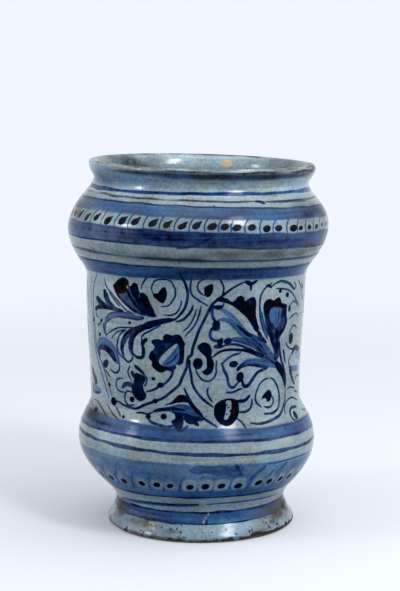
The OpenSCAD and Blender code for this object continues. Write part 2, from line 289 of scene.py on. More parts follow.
RIGHT_FLOWER = [
    blot(BLUE_LOAD, (44.5, 153), (46, 156), (49.5, 157), (52.5, 155.8), (54.5, 156.3), (57.5, 157.3),
         (59.5, 155.5), (60.5, 153), (63.5, 152.5), (66.5, 151), (66.5, 149), (66, 145), (67.8, 141),
         (66, 137), (63, 133.5), (60.8, 130.5), (60.3, 126), (61.3, 119), (57, 116.5), (55.5, 121.5),
         (54, 126), (51.5, 131), (50, 135), (49, 139), (47, 143.5), (45, 148)),
    blot(FULL_LOAD, (45, 152.5), (46.5, 155.5), (49.5, 156.5), (52.5, 155), (57.5, 156.7), (59.5, 154.5),
         (62, 152.2), (66, 150.3), (63, 149.5), (58, 151.2), (53, 151.8), (50.5, 149), (47.5, 147.5)),
    stroke(2.0, 2.0, DEEP_LOAD, (65.4, 148), (65.6, 143), (66.4, 140.5), (64.4, 136), (61, 132.4)),
    stroke(0.9, 0.9, NAVY_LOAD, (62.6, 148), (62.8, 142), (61.4, 136), (58.5, 130)),
    stroke(3.2, 3.4, DEEP_LOAD, (46.8, 148), (48.4, 142.4), (50.6, 137), (52.8, 132), (55.2, 126)),
    stroke(2.0, 2.4, DEEP_LOAD, (57, 136), (57.6, 129), (58, 121)),
    lift((51, 150.4), (56, 150.6), (60.2, 149.6), (60.4, 144), (58.8, 139.5), (55.6, 138), (54, 140.6),
         (51.4, 142), (50, 146)),
    pool(0.6, (50.6, 151), (56, 151.2), (60.8, 150.2), (61, 144), (59, 139), (55.5, 137.4), (53.6, 140.4),
         (51, 141.6), (49.4, 146)),
    dab(52.6, 138.8, 4.2, 4.4, DEEP_LOAD),
    stroke(0.8, 1.4, LINE_LOAD, (54.6, 150), (55.6, 145), (56.4, 139.5)),
    sweep(1.2, 1.2, 0.72, 0.76, (58, 150), (58.4, 145), (57.8, 140.5)),
    dab(69.5, 148.5, 3.0, 4.6, DEEP_LOAD),
    line(1.3, (50.5, 166.8), (47, 165.3), (44, 162.5), (42.2, 159), (41.7, 154), (42.1, 149.5), (42.7, 145),
         (44.5, 140), (46.5, 135.5), (49, 131.5)),
    sweep(1.6, 1.6, 0.4, 0.5, (42.8, 150), (43.8, 144.5), (46, 138.5), (49, 132.6)),
    line(1.1, (43.6, 149), (44.8, 144), (46.8, 139), (49.8, 133.5)),
    stroke(2.0, 1.6, STEM_LOAD, (46.5, 165.5), (48.5, 165.4), (50.5, 164.2)),
    stroke(1.2, 2.0, LINE_LOAD, (51, 165), (54.5, 166.6), (59, 167.4), (64.5, 166), (68.5, 164.4),
           (72, 162), (75, 160)),
    line(1.1, (54.5, 163), (59, 162.5), (64.5, 161.5), (70, 159.5), (74, 156.5), (78.5, 152.5),
         (85, 148.5)),
    dab(58.5, 161, 2.8, 2.6),
    dab(66.2, 157.8, 3.8, 3.2),
    line(1.0, (70.5, 150.5), (72.5, 152), (75.5, 152.5), (79, 150.5), (82, 148)),
    line(1.0, (70, 141.5), (74, 143), (78.5, 144), (82, 143), (84, 140.5)),
    line(1.0, (71, 130.5), (72.5, 134), (75.5, 136.2), (79, 136), (82.5, 134)),
    dab(74.3, 128.3, 6.0, 7.2),
    line(1.1, (68, 126.5), (70.5, 123.5), (75, 121.3), (80, 121)),
]

COMMA_BUD = [
    blot(FULL_LOAD, (2, 130), (5.5, 132), (9, 130.5), (10.5, 127), (10.5, 123), (12, 118.5), (11.5, 114),
         (8.5, 111), (5.5, 112), (5, 113.5), (7.5, 115.5), (7.5, 118.5), (7, 122.5), (4, 125.5), (2, 128)),
    dab(2, 118.5, 6.2, 7.2),
    line(1.1, (0.5, 115.5), (2, 111.5), (5, 108), (8.5, 107), (11.5, 108.5), (13.5, 112), (13.5, 116),
         (13.5, 120)),
    stroke(1.5, 1.5, STEM_LOAD, (-3, 120.5), (-3, 116), (-2, 110), (-1.5, 106), (0.5, 101.5), (3.5, 97.5),
           (7, 94), (11.5, 90.5)),
    line(1.2, (8.5, 103), (8, 100), (9, 97), (11, 94)),
    stroke(1.5, 1.5, STEM_LOAD, (-6.5, 102.5), (-4.5, 98), (-1.5, 92.5), (1.5, 88), (5.5, 83.5), (10, 80.5),
           (13.5, 78)),
]

LOBED_BUD = [
    blot(FULL_LOAD, (13, 91.5), (16, 94), (20, 95.2), (25, 95), (28.3, 93), (29, 88), (28, 83.5),
         (24.5, 80), (20, 78.3), (16, 79.8), (13, 83.5), (12.2, 87.5)),
    lift((20.3, 93.6), (23.4, 93.8), (23.7, 90), (23.3, 86.5), (21.8, 83.5), (20.5, 82.2), (18.6, 82.6),
         (19.6, 86), (20.3, 90)),
    dab(21.8, 89.4, 1.6, 1.0, NAVY_LOAD),
    dab(20.6, 85.4, 1.0, 1.4, NAVY_LOAD),
    dab(23, 87.4, 1.2, 1.6, NAVY_LOAD),
    dab(20.8, 91.4, 0.9, 1.2, NAVY_LOAD),
    stroke(2.4, 1.8, DEEP_LOAD, (28, 93.2), (32, 93), (34.5, 94), (36.8, 96.2)),
    line(1.5, (38.5, 93.5), (38.5, 90.5), (37, 87.5), (33.5, 86), (29, 86)),
    line(1.2, (27, 82.5), (30, 80), (32, 76)),
    line(1.4, (20.5, 99.2), (24.5, 99.2), (28.5, 100.5), (31, 101)),
]

SPIRAL_BUD = [
    blot(FULL_LOAD, (46, 92.5), (47, 94.5), (48, 95.5), (50.5, 97.3), (52.5, 98), (54.3, 96.5), (55, 94.5),
         (54.5, 92), (53.5, 90.5), (51, 90.5), (50, 92.5), (48, 93)),
    line(1.3, (55, 94), (57, 90.5), (55.5, 87.5), (52.5, 86.5), (48.5, 87.5)),
    line(1.3, (46, 87.5), (42.5, 90.5), (41, 94), (42, 98), (44.5, 102.5), (48, 105), (52, 105.5)),
    line(1.5, (53.5, 105.5), (57, 103.5), (60.5, 99), (62.5, 94.5), (63, 90), (62, 85.5), (59, 83.5),
         (54.5, 82.5), (48, 83)),
    line(1.4, (69.5, 97), (70, 92.5), (69.5, 88), (66, 83.5), (61.5, 80.5), (55, 79), (48, 78),
         (41.5, 77.8), (36, 79)),
]

RIGHT_EDGE = [
    stroke(2.0, 1.2, STEM_LOAD, (65.6, 122), (67, 117.5), (69, 113)),
    stroke(3.0, 4.0, DEEP_LOAD, (77, 118), (82.5, 121), (92, 118)),
    sweep(3.5, 3.5, 0.5, 0.66, (76, 108), (84, 107), (92, 106)),
    dab(76.5, 106.5, 3.4, 4.6, NAVY_LOAD),
    stroke(3.0, 2.0, DEEP_LOAD, (76, 109.5), (77.5, 105), (80.5, 100), (85, 96.5)),
    line(1.2, (74.5, 109), (73.5, 114), (76.5, 117)),
    sweep(4.0, 6.0, 0.36, 0.5, (84, 117), (92, 114), (102, 112)),
    line(1.2, (85, 99.5), (88, 101), (92, 101), (100, 99)),
    stroke(2.6, 1.6, DEEP_LOAD, (87.5, 162), (91, 158.5)),
    stroke(2.0, 1.6, DEEP_LOAD, (90, 154.5), (91.5, 151)),
    line(1.1, (74, 165), (77, 162), (75.5, 160.5)),
    line(1.1, (80.5, 165.5), (86, 160), (90, 154)),
    line(1.1, (72.5, 95), (76, 96), (80.5, 95), (84, 94), (86, 91.5), (92, 90)),
    line(1.1, (67.5, 80), (68.5, 83.5), (71.5, 87), (76, 88.5), (82, 88), (87.5, 86), (92, 84.5)),
    stroke(1.4, 1.8, STEM_LOAD, (76, 74.5), (73.2, 76), (72.8, 79), (75, 81.4), (78.5, 82.2), (86, 81.5)),
    dab(78.5, 77.4, 5.0, 5.2),
]

LEFT_ARCH = [
    sweep(5.5, 7.0, 0.42, 0.62, (-76.5, 121), (-73, 125.5), (-67, 127), (-61, 125.2), (-56.6, 121),
          (-54.2, 116.6)),
    stroke(3.0, 5.2, 0.84, (-76, 119.8), (-73.5, 122.4), (-69, 123.6), (-64.5, 123), (-60, 120.8),
           (-56.5, 117)),
    stroke(3.2, 2.0, 0.84, (-74.8, 120), (-74, 117)),
    line(1.1, (-52.5, 115.5), (-52.5, 112), (-54.5, 109), (-58, 108.5), (-62, 110)),
    blot(0.84, (-70.5, 112), (-68.5, 114.5), (-65.5, 116), (-63.3, 114.5), (-64.5, 111.5), (-67.5, 110)),
    line(1.0, (-67.5, 108.8), (-62, 105)),
    line(1.1, (-57.5, 86.5), (-54, 83.5), (-51.5, 81)),
    stroke(1.1, 1.1, 0.72, (-73, 171), (-79.5, 164), (-81, 155.5), (-80.5, 146), (-79.5, 136), (-79, 126.5),
           (-76.5, 119), (-70.5, 111.5), (-65.5, 103), (-61, 93)),
    stroke(1.0, 1.0, 0.68, (-83.5, 170), (-86, 161.5), (-85, 152), (-83, 142), (-82, 132.5), (-80.5, 123),
           (-78, 115), (-73.5, 107.5), (-68.5, 99), (-64, 91)),
    stroke(2.2, 1.4, NAVY_LOAD, (-99, 165), (-94, 157), (-91.5, 150), (-92, 142)),
    stroke(2.4, 1.6, DEEP_LOAD, (-90, 106), (-85.5, 102), (-81.5, 97.5)),
    line(0.9, (-67, 86.5), (-60, 82), (-52, 78.5)),
    line(0.9, (-88, 86), (-80, 85.8), (-73, 83), (-65, 79.5)),
    stroke(5.0, 6.5, 0.78, (-90, 106.5), (-86, 101.5), (-81.5, 98.8)),
    sweep(6.0, 4.0, 0.6, 0.5, (-92, 94), (-84, 94.2), (-75, 93.4)),
    stroke(1.4, 1.8, NAVY_LOAD, (-92, 91), (-84, 91.2), (-76, 92.4)),
    dab(-63, 100, 2.4, 2.0),
    dab(-49, 81, 2.6, 2.2),
    dab(-80, 80.6, 6.0, 2.8),
]

SMALL_FLOWER = [
    blot(DEEP_LOAD, (-39.4, 110.4), (-36, 110.2), (-33, 109), (-32.3, 106), (-34, 103), (-33.4, 100),
         (-31.8, 97), (-33, 94), (-36, 92.5), (-39, 93.4), (-41.6, 96), (-42.6, 100), (-41, 104),
         (-40.2, 107.5)),
    stroke(3.0, 3.6, FULL_LOAD, (-38.6, 101), (-38, 97.5), (-35.5, 94.8)),
    sweep(1.2, 1.0, 0.7, 0.74, (-40.6, 109), (-40.2, 106), (-41, 103)),
    stroke(2.6, 1.6, DEEP_LOAD, (-39.4, 115), (-36.5, 113), (-33, 110.4)),
    line(1.1, (-32.6, 109.8), (-31.2, 107.5), (-31.4, 105), (-33, 102.4)),
    line(1.1, (-43.5, 114.5), (-45.3, 110.8), (-44.2, 107.5), (-42.4, 105)),
    blot(BLUE_LOAD, (-43.2, 110.6), (-41.6, 111.6), (-40.2, 110.2), (-40.4, 107), (-41.8, 107.6)),
    line(1.1, (-49.6, 105.6), (-52.5, 105.4), (-55.4, 104), (-56.3, 100.8), (-54.6, 97.8), (-51.5, 96.8),
         (-48.5, 97)),
    stroke(2.6, 3.4, BLUE_LOAD, (-50.4, 99.8), (-48, 102), (-45, 102.6), (-41.5, 102)),
    line(1.2, (-42.4, 97.6), (-46, 98), (-48.4, 95), (-48, 91), (-45, 88.8), (-41, 89.8)),
    dab(-42.5, 93, 4.0, 3.6),
    stroke(1.6, 1.4, STEM_LOAD, (-13, 116), (-14.5, 110.5), (-18, 106), (-21.5, 104), (-26, 101),
           (-31.5, 99)),
    dab(-21.8, 104, 4.6, 3.4),
    dab(-26.5, 107.8, 2.8, 2.0),
]

LOWER_LEAF = [
    pool(0.72, (-26, 86.8), (-21.5, 89), (-15.5, 90.6), (-9, 92.4), (-4, 91.6), (-0.5, 89), (2.8, 86),
         (6, 82.5), (0, 82), (-6.5, 85), (-12.5, 87), (-21.5, 87.3)),
    blot(FULL_LOAD, (-19.6, 91.4), (-15, 93.4), (-12, 96.4), (-9.5, 98.4), (-6, 98), (-4, 95.6), (-3, 93.4),
         (-6.4, 93.6), (-11, 93.2), (-15, 92)),
    stroke(2.2, 2.6, DEEP_LOAD, (-4.2, 94.6), (-1.4, 91.4), (1.6, 88), (5, 83.8)),
    stroke(2.4, 1.8, DEEP_LOAD, (-26.4, 87), (-20, 88.6), (-13, 89.2), (-6.5, 88.4)),
    stroke(1.6, 3.0, DEEP_LOAD, (-14, 87), (-6.5, 85.6), (-1, 83.6), (4.6, 83)),
    line(1.2, (-39.5, 84.6), (-35.5, 85.2), (-31, 84.8), (-27, 86.3)),
    line(1.5, (-31, 83), (-28.6, 80.6), (-25, 79.3), (-21, 78.6), (-17.5, 78), (-13.5, 79)),
    dab(-20, 84, 4.2, 3.6),
    dab(-30.4, 83.2, 3.4, 3.0),
    blot(DEEP_LOAD, (-12.4, 86.4), (-8.4, 87), (-7.2, 82.4), (-7.8, 78), (-10.4, 76.2), (-13, 78.8),
         (-14.8, 81.6), (-12.6, 83)),
    line(1.4, (-4.5, 79), (-6.5, 77), (-9.5, 76), (-12, 77.5)),
    stroke(3.4, 2.0, DEEP_LOAD, (-6, 83.6), (-3.4, 81.6), (-0.4, 81.2), (2, 79.4)),
]

FRONT_SCROLL = (
    UPPER_STEMS + LEFT_LEAF + ACANTHUS + CENTRAL_FLOWER + HEART_BUD + ROUND_BUD + RIGHT_LEAF + MAIN_STEM
    + RIGHT_FLOWER + COMMA_BUD + LOBED_BUD + SPIRAL_BUD + RIGHT_EDGE + LEFT_ARCH + SMALL_FLOWER + LOWER_LEAF
)
# Each gap between the front scroll and its repeat on the back takes four motifs: motif, mm along, mm up
GAP_MOTIFS = ((HEART_BUD, 131, 0), (CENTRAL_FLOWER, 128, 2), (SPIRAL_BUD, 58, -1), (ROUND_BUD, 94, -21))
GAP_STARTS = (0, -218)

# Dots of the two rows, as mm to the right of the front; the back goes on at a like pace
SHOULDER_DOTS = (-94, -83.5, -73, -61.5, -50, -40.5, -28.5, -19.5, -10, -1.5, 8, 15.5, 23, 32.5, 42.5, 51,
                 63, 69.5, 78.5, 87.5, 96.5)
DRUM_DOTS = (-78, -66, -53, -38, -27, -18, -5, 5, 15.5, 27, 42, 51, 61.5, 71.5, 82)
SHOULDER_PACE = 10.2
DRUM_PACE = 11.4
# Where along the shoulder's row the dots lean and have tails, and where they are small
LEANING_DOTS = (-102, 2)
SMALL_DOTS = (58, 100)
SMALL_SIZE = 0.76
# Outlines of the pale boxes and ovals round the drum's dots: mm to the right of the dot, height
DOT_BOX = ((-4.4, 37.4), (0, 36.8), (4.8, 37.6), (5, 41), (4.4, 44.4), (0.4, 45.6), (-4, 44.2))
DOT_OVAL = ((-4.6, 39), (-1.6, 36.4), (2.6, 37), (4, 40), (1.6, 44), (-2.8, 43.4))
# The drum's front dots stand in pale boxes, the others in pale ovals
BOXED_DOTS = (-10, 30)
# Black pits on the foot's rim: mm to the right of the front, height, size
FOOT_PITS = (
    (21, 8, 1.0), (40, 5.5, 1.6), (42.5, 5.8, 1.3), (59, 8, 1.4), (65, 8.2, 1.6), (68.5, 8, 1.3),
    (70, 5.4, 1.4), (61.5, 4.7, 1.2), (72, 5.6, 1.5), (72, 3.6, 1.3), (96, 10.3, 1.4), (92, 7.4, 1.3),
    (86, 9.4, 1.3), (60, 11, 1.2), (56, 9, 1.2), (2, 7, 0.8), (9, 7, 0.9), (28, 5, 1.2), (-66, 4, 1.8),
    (-47, 4.2, 1.2), (-24, 8, 1.6), (-19, 8.5, 1.2), (-77, 11, 1.4), (-63, 9.6, 1.2), (-47, 10.4, 1.2),
    (-42, 9.3, 1.0), (-56, 9, 1.1), (-32, 8.6, 1.0), (-93, 13.8, 1.4), (-48, 8, 1.0), (120, 6, 1.4),
    (138, 9, 1.2), (160, 5, 1.5), (190, 8, 1.2), (215, 5.4, 1.6), (-130, 7, 1.3),
)


def rgb(red, green, blue):
    """A colour of the screen, 0 to 255, as linear light."""
    light = []
    for part in (red, green, blue):
        part = part / 255
        light.append(part / 12.92 if part <= 0.04045 else ((part + 0.055) / 1.055) ** 2.4)
    return tuple(light)


def colour_prop(name, description, shade):
    """A colour that a user may change."""
    return bpy.props.FloatVectorProperty(
        name=name, description=description, subtype="COLOR", size=3, min=0.0, max=1.0, default=rgb(*shade)
    )


class AlbarelloForm(bpy.types.PropertyGroup):
    """How finely the jar is modelled and how far it strays from a true turned form."""

    columns: bpy.props.IntProperty(
        name="Columns", description="Faces round the jar, a multiple of 12", default=840, min=120, max=1200
    )
    rim_tilt: bpy.props.FloatProperty(
        name="Rim tilt", description="How far the rim sinks to the right", subtype="ANGLE",
        default=math.radians(1.5),
    )
    lean: bpy.props.FloatProperty(
        name="Lean", description="How much of the axis's wander is kept", default=1.0, subtype="FACTOR"
    )
    ripple: bpy.props.FloatProperty(
        name="Ripple", description="Height of the throwing lines", default=0.00006, unit="LENGTH", precision=5
    )


class AlbarelloPaint(bpy.types.PropertyGroup):
    """Colours of the glaze and of the pigment as it gets thicker."""

    glaze: colour_prop("Glaze", "Pale ground of the tin glaze", (132, 154, 165))
    faint: colour_prop("Faint wash", "Thinnest colour", (96, 130, 160))
    wash: colour_prop("Wash", "Thin colour of the bands", (45, 95, 151))
    band: colour_prop("Band", "Fuller colour of the bands", (20, 61, 113))
    navy: colour_prop("Line", "Colour of the brush lines", (8, 30, 74))
    deep: colour_prop("Deep", "Colour of the loaded strokes", (4, 13, 44))
    black: colour_prop("Dot", "Colour of the thickest touches", (8, 8, 19))
    inside: colour_prop("Inside", "Plain glaze inside the jar", (136, 155, 164))
    swell: bpy.props.FloatProperty(
        name="Line swell", description="Added to the width of every line", default=0.0001,
        unit="LENGTH", precision=5,
    )


class AlbarelloWear(bpy.types.PropertyGroup):
    """Clay, the marks of age, and the colours that the painted shade takes."""

    clay: colour_prop("Clay", "Bare fired clay", (238, 206, 168))
    slip: colour_prop("Slip", "Slip of the seams", (190, 152, 116))
    # Soot and film colour dirt, and also the painted shade under the lip, under the shoulder and on the
    # neck's left
    soot: colour_prop("Soot", "Dark dirt in pits and along edges", (38, 35, 31))
    film: colour_prop("Film", "Thin film of dirt", (101, 100, 91))
    burnt: colour_prop("Burnt clay", "Clay at the edge of the foot", (44, 29, 23))
    lip: colour_prop("Worn lip", "Glaze rubbed thin on lip and foot", (72, 66, 54))
    chip: bpy.props.FloatProperty(
        name="Foot chip", description="Depth of the chips in the foot", default=0.001,
        unit="LENGTH", precision=4,
    )


class AlbarelloStage(bpy.types.PropertyGroup):
    """Floor, lamps and camera."""

    ground: colour_prop("Ground", "Colour of the floor and of the space behind", (241, 246, 254))
    key: bpy.props.FloatProperty(
        name="Key lamp", description="Small lamp at the right", default=17.0, unit="POWER"
    )
    side: bpy.props.FloatProperty(
        name="Side lamp", description="Small lamp at the left", default=5.5, unit="POWER"
    )
    top: bpy.props.FloatProperty(name="Top lamp", description="Broad lamp above", default=40.0, unit="POWER")
    right: bpy.props.FloatProperty(
        name="Right panel", description="Broad lamp at the right", default=13.0, unit="POWER"
    )
    left: bpy.props.FloatProperty(
        name="Left panel", description="Broad lamp at the left", default=18.0, unit="POWER"
    )
    fill: bpy.props.FloatProperty(
        name="Fill", description="Light from all round", default=0.05, min=0.0, max=2.0
    )
    camera_back: bpy.props.FloatProperty(
        name="Camera distance", description="From the jar's axis", default=1.147, unit="LENGTH"
    )
    camera_high: bpy.props.FloatProperty(
        name="Camera height", description="Above the table", default=0.32, unit="LENGTH"
    )
    camera_side: bpy.props.FloatProperty(
        name="Camera offset", description="To the right of the axis", default=0.001, unit="LENGTH"
    )
    camera_down: bpy.props.FloatProperty(
        name="Camera pitch", description="Below the horizon", default=math.radians(8.38), subtype="ANGLE"
    )
    lens_px: bpy.props.FloatProperty(
        name="Lens", description="Focal length in pixels of the picture", default=1756.0, min=100.0
    )


# Form: one line round the wall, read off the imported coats, turned into one sheet


RAY_TURN = 0.0123
LINE_STEP = 0.2
LINE_BLUR = 0.7
AXIS_LEVELS = (0, 10, 58, 90, 130, 165, 198, 228, 240)
AXIS_SHIFTS = (1.6, 1.6, -1.8, -2.4, -2.4, -1.7, -0.3, 1.6, 3.4)
AXIS_BLUR = 14
TILT_FROM = 200
TILT_FULL = 228
# Slow unevenness of the thrown wall
WAVER = 0.22


def coat_tree(node):
    """A packed coat, ready for rays."""
    mesh = frame["nodes"][node].data
    return BVHTree.FromPolygons([v.co for v in mesh.vertices], [p.vertices for p in mesh.polygons])


def meet(tree, r, z, out, up):
    """Radius and height where a ray in the half section first meets a coat, or None."""
    x, y = math.cos(RAY_TURN), math.sin(RAY_TURN)
    hit = tree.ray_cast(Vector((r * x, r * y, z)) * MM, Vector((out * x, out * y, up)))[0]
    return None if hit is None else (math.hypot(hit.x, hit.y) / MM, hit.z / MM)


def wall_line():
    """The line of the wall from the glaze's edge at the foot, over the lip, to the middle of the floor."""
    outer, inner = coat_tree("outer_glaze"), coat_tree("inner_glaze")
    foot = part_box("outer_glaze")[0].z / MM
    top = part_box("outer_glaze")[1].z / MM
    throat = next(m["dims"]["r_mm"] for m in frame["record"]["mounts"] if m["name"] == "mouth")
    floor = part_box("inner_glaze")[0].z / MM + 0.5
    points = [meet(outer, FAR, z, -1, 0) for z in np.arange(foot + 0.05, top - 1, 0.4)]
    for r in np.arange(points[-1][0] - 0.15, throat + 0.6, -0.25):
        found = [meet(tree, r, FAR, 0, -1) for tree in (outer, inner)]
        points.append(max((p for p in found if p), key=lambda p: p[1]))
    points += [meet(inner, 0, z, 1, 0) for z in np.arange(points[-1][1] - 0.3, floor + 2, -0.5)]
    points += [meet(inner, r, FAR, 0, -1) for r in np.arange(points[-1][0] - 0.5, 0.1, -0.5)]
    if None in points:
        raise RuntimeError("the wall's line left the packed coats")
    path = np.array(points)
    along = np.r_[0, np.cumsum(np.hypot(*np.diff(path, axis=0).T))]
    even = np.arange(0, along[-1], LINE_STEP)
    path = np.stack([np.interp(even, along, path[:, 0]), np.interp(even, along, path[:, 1])], 1)
    reach = int(4 * LINE_BLUR / LINE_STEP)
    bell = np.exp(-0.5 * (np.arange(-reach, reach + 1) * LINE_STEP / LINE_BLUR) ** 2)
    wide = np.pad(path, ((reach, reach), (0, 0)), mode="reflect", reflect_type="odd")
    smooth = [np.convolve(wide[:, k], bell / bell.sum(), mode="valid") for k in (0, 1)]
    return np.stack(smooth, 1)


def soft_step(value, low, high):
    """0 at low, 1 at high and beyond, smooth between."""
    t = np.clip((value - low) / (high - low), 0, 1)
    return t * t * (3 - 2 * t)


def drift(theta, z, seed, turns, pitch, waves=16):
    """A smooth uneven field round the jar, about -1 to 1, the same at every run."""
    rng = np.random.default_rng(seed)
    total = 0
    for _ in range(waves):
        round_wave = rng.integers(-turns, turns + 1)
        rise = rng.uniform(-1, 1) * 2 * math.pi / pitch
        total = total + np.sin(round_wave * theta + rise * z + rng.uniform(0, 2 * math.pi))
    return total / math.sqrt(waves * 1.3)


def axis_shift(z):
    """How far the jar's axis strays to the right at a height."""
    levels = np.arange(-60, 300)
    plain = np.interp(levels, AXIS_LEVELS, AXIS_SHIFTS)
    bell = np.exp(-0.5 * (np.arange(-40, 41) / AXIS_BLUR) ** 2)
    soft = np.convolve(np.pad(plain, 40, mode="edge"), bell / bell.sum(), mode="valid")
    return np.interp(z, levels, soft)


# Chips in the foot's edge: degrees to the right of the front, height, half width and half height in mm
FOOT_CHIPS = ((36, 2.6, 6.5, 2.6), (-52, 1.8, 2.2, 1.2), (9, 1.6, 2.0, 1.0), (118, 3.0, 4.0, 2.0),
              (215, 2.0, 3.0, 1.4))


def turn_from(theta, bearing):
    """Angle from a bearing in degrees to the right of the front, the short way round."""
    return np.radians((np.degrees(theta) - bearing + 180) % 360 - 180)


def chip_depth(theta, z):
    """Share of a full chip at a point of the foot's edge."""
    depth = 0
    for turn, high, wide, tall in FOOT_CHIPS:
        u = turn_from(theta, turn) * FOOT_R / wide
        depth = np.maximum(depth, 1 - (u * u + ((z - high) / tall) ** 2))
    return np.sqrt(np.clip(depth, 0, 1))


def settle(x, y, z):
    """Moves true turned points to where the leaning, tilted jar has them."""
    form = bpy.context.scene.albarello_form
    x = x + form.lean * axis_shift(z)
    z = z - x * math.tan(form.rim_tilt) * soft_step(z, TILT_FROM, TILT_FULL)
    return x, y, z


# Step left at the root of the neck: how far it stands out, heights where it starts and is full, where it ends
NECK_STEP = 0.36
NECK_STEP_HEAD = (228.6, 225.2)
NECK_STEP_FOOT = (200, 223)
# Bands of glaze from the foot to the floor: name, row step, strips on its colour map; the first are painted
BANDS = (
    ("foot_glaze", 0.6, 4),
    ("lower_glaze", 0.6, 2),
    ("waist_glaze", 0.5, 2),
    ("shoulder_glaze", 0.62, 2),
    ("rim_glaze", 0.5, 3),
    ("inner_glaze_high", 1.4, 2),
    ("inner_glaze_low", 1.6, 2),
)
PAINTED_BANDS = 5
SKIN = {}


def skin():
    """The whole glazed surface as one sheet of points, with its bands and its painting. Built once."""
    if SKIN:
        return SKIN
    form = bpy.context.scene.albarello_form
    path = wall_line()
    crest = int(np.argmax(path[:, 1]))
    outside, inside = path[: crest + 1, 1], path[crest:, 1]
    seams = [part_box(n)[1].z / MM for n in ("foot_slip", "lower_bowl", "waist_wall", "shoulder_drum")]
    cuts = [0] + [int(np.argmin(abs(outside - z))) for z in seams]
    throat_z = seams[-1]
    split_z = (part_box("waist_wall")[0].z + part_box("waist_wall")[1].z) / 2 / MM
    cuts += [crest + int(np.argmin(abs(inside - z))) for z in (throat_z, split_z)]
    cuts += [len(path) - 1]
    rows, edges = [0.0], [0]
    for (_, step, _), start, end in zip(BANDS, cuts[:-1], cuts[1:]):
        count = max(2, round((end - start) * LINE_STEP / step))
        rows += list(np.linspace(start, end, count + 1)[1:])
        edges.append(len(rows) - 1)
    index = np.arange(len(path))
    r = np.interp(rows, index, path[:, 0])
    z = np.interp(rows, index, path[:, 1])
    lean_r = np.interp(rows, index, np.gradient(path[:, 1]))
    lean_z = -np.interp(rows, index, np.gradient(path[:, 0]))
    size = np.hypot(lean_r, lean_z)
    theta = np.linspace(-math.pi, math.pi, form.columns, endpoint=False)
    turn, height = np.meshgrid(theta, z)
    rise = form.ripple / MM * drift(turn, height, 4, 3, 5.0) + WAVER * drift(turn, height, 5, 3, 90)
    chips = chip_depth(turn, height) * (np.arange(len(z)) < edges[1])[:, None]
    rise -= bpy.context.scene.albarello_wear.chip / MM * chips
    crest_row = int(np.argmax(z))
    outer = (np.arange(len(z)) < crest_row)[:, None]
    rise += NECK_STEP * soft_step(height, *NECK_STEP_HEAD) * soft_step(height, *NECK_STEP_FOOT) * outer
    wide = r[:, None] + (lean_r / size)[:, None] * rise
    high = height + (lean_z / size)[:, None] * rise
    x, y, up = settle(wide * np.sin(turn), -wide * np.cos(turn), high)
    points = np.stack([x, y, up], -1)
    around = np.roll(points, -1, 1) - np.roll(points, 1, 1)
    along = np.gradient(points, axis=0)
    normals = np.cross(around, along)
    normals /= np.maximum(np.linalg.norm(normals, axis=-1, keepdims=True), 1e-12)
    SKIN.update(points=points, normals=normals, theta=theta, z=z)
    SKIN.update(edges=edges, crest=crest_row, chips=chips)
    paint_skin(SKIN)
    wear_skin(SKIN)
    return SKIN


# Painting: each stroke leaves a distance to its edge, a load of pigment or a thin wash on the sheet


STEEP = 2.2
HAIRS = 0.11


def flow(points, closed=False, step=0.35):
    """Points close together along a smooth curve through the given ones, with the share of the way."""
    knots = np.array(points, float)
    if closed:
        knots = np.vstack([knots[-1], knots, knots[:2]])
    else:
        knots = np.vstack([2 * knots[0] - knots[1], knots, 2 * knots[-1] - knots[-2]])
    out = []
    for a, b, c, d in zip(knots[:-3], knots[1:-2], knots[2:-1], knots[3:]):
        count = max(2, int(np.hypot(*(c - b)) / step))
        t = np.arange(count)[:, None] / count
        curve = (2 * a - 5 * b + 4 * c - d) * t**2 + (3 * b - a - 3 * c + d) * t**3
        out.append(0.5 * (2 * b + (c - a) * t + curve))
    if not closed:
        out.append(knots[-2][None])
    return np.vstack(out)


def inside_shape(u, z, edge):
    """Whether points lie inside a closed edge."""
    odd = np.zeros(u.shape, bool)
    for (u0, z0), (u1, z1) in zip(edge, np.roll(edge, -1, 0)):
        if z0 == z1:
            continue
        odd ^= ((z0 > z) != (z1 > z)) & (u < (u1 - u0) * (z - z0) / (z1 - z0) + u0)
    return odd


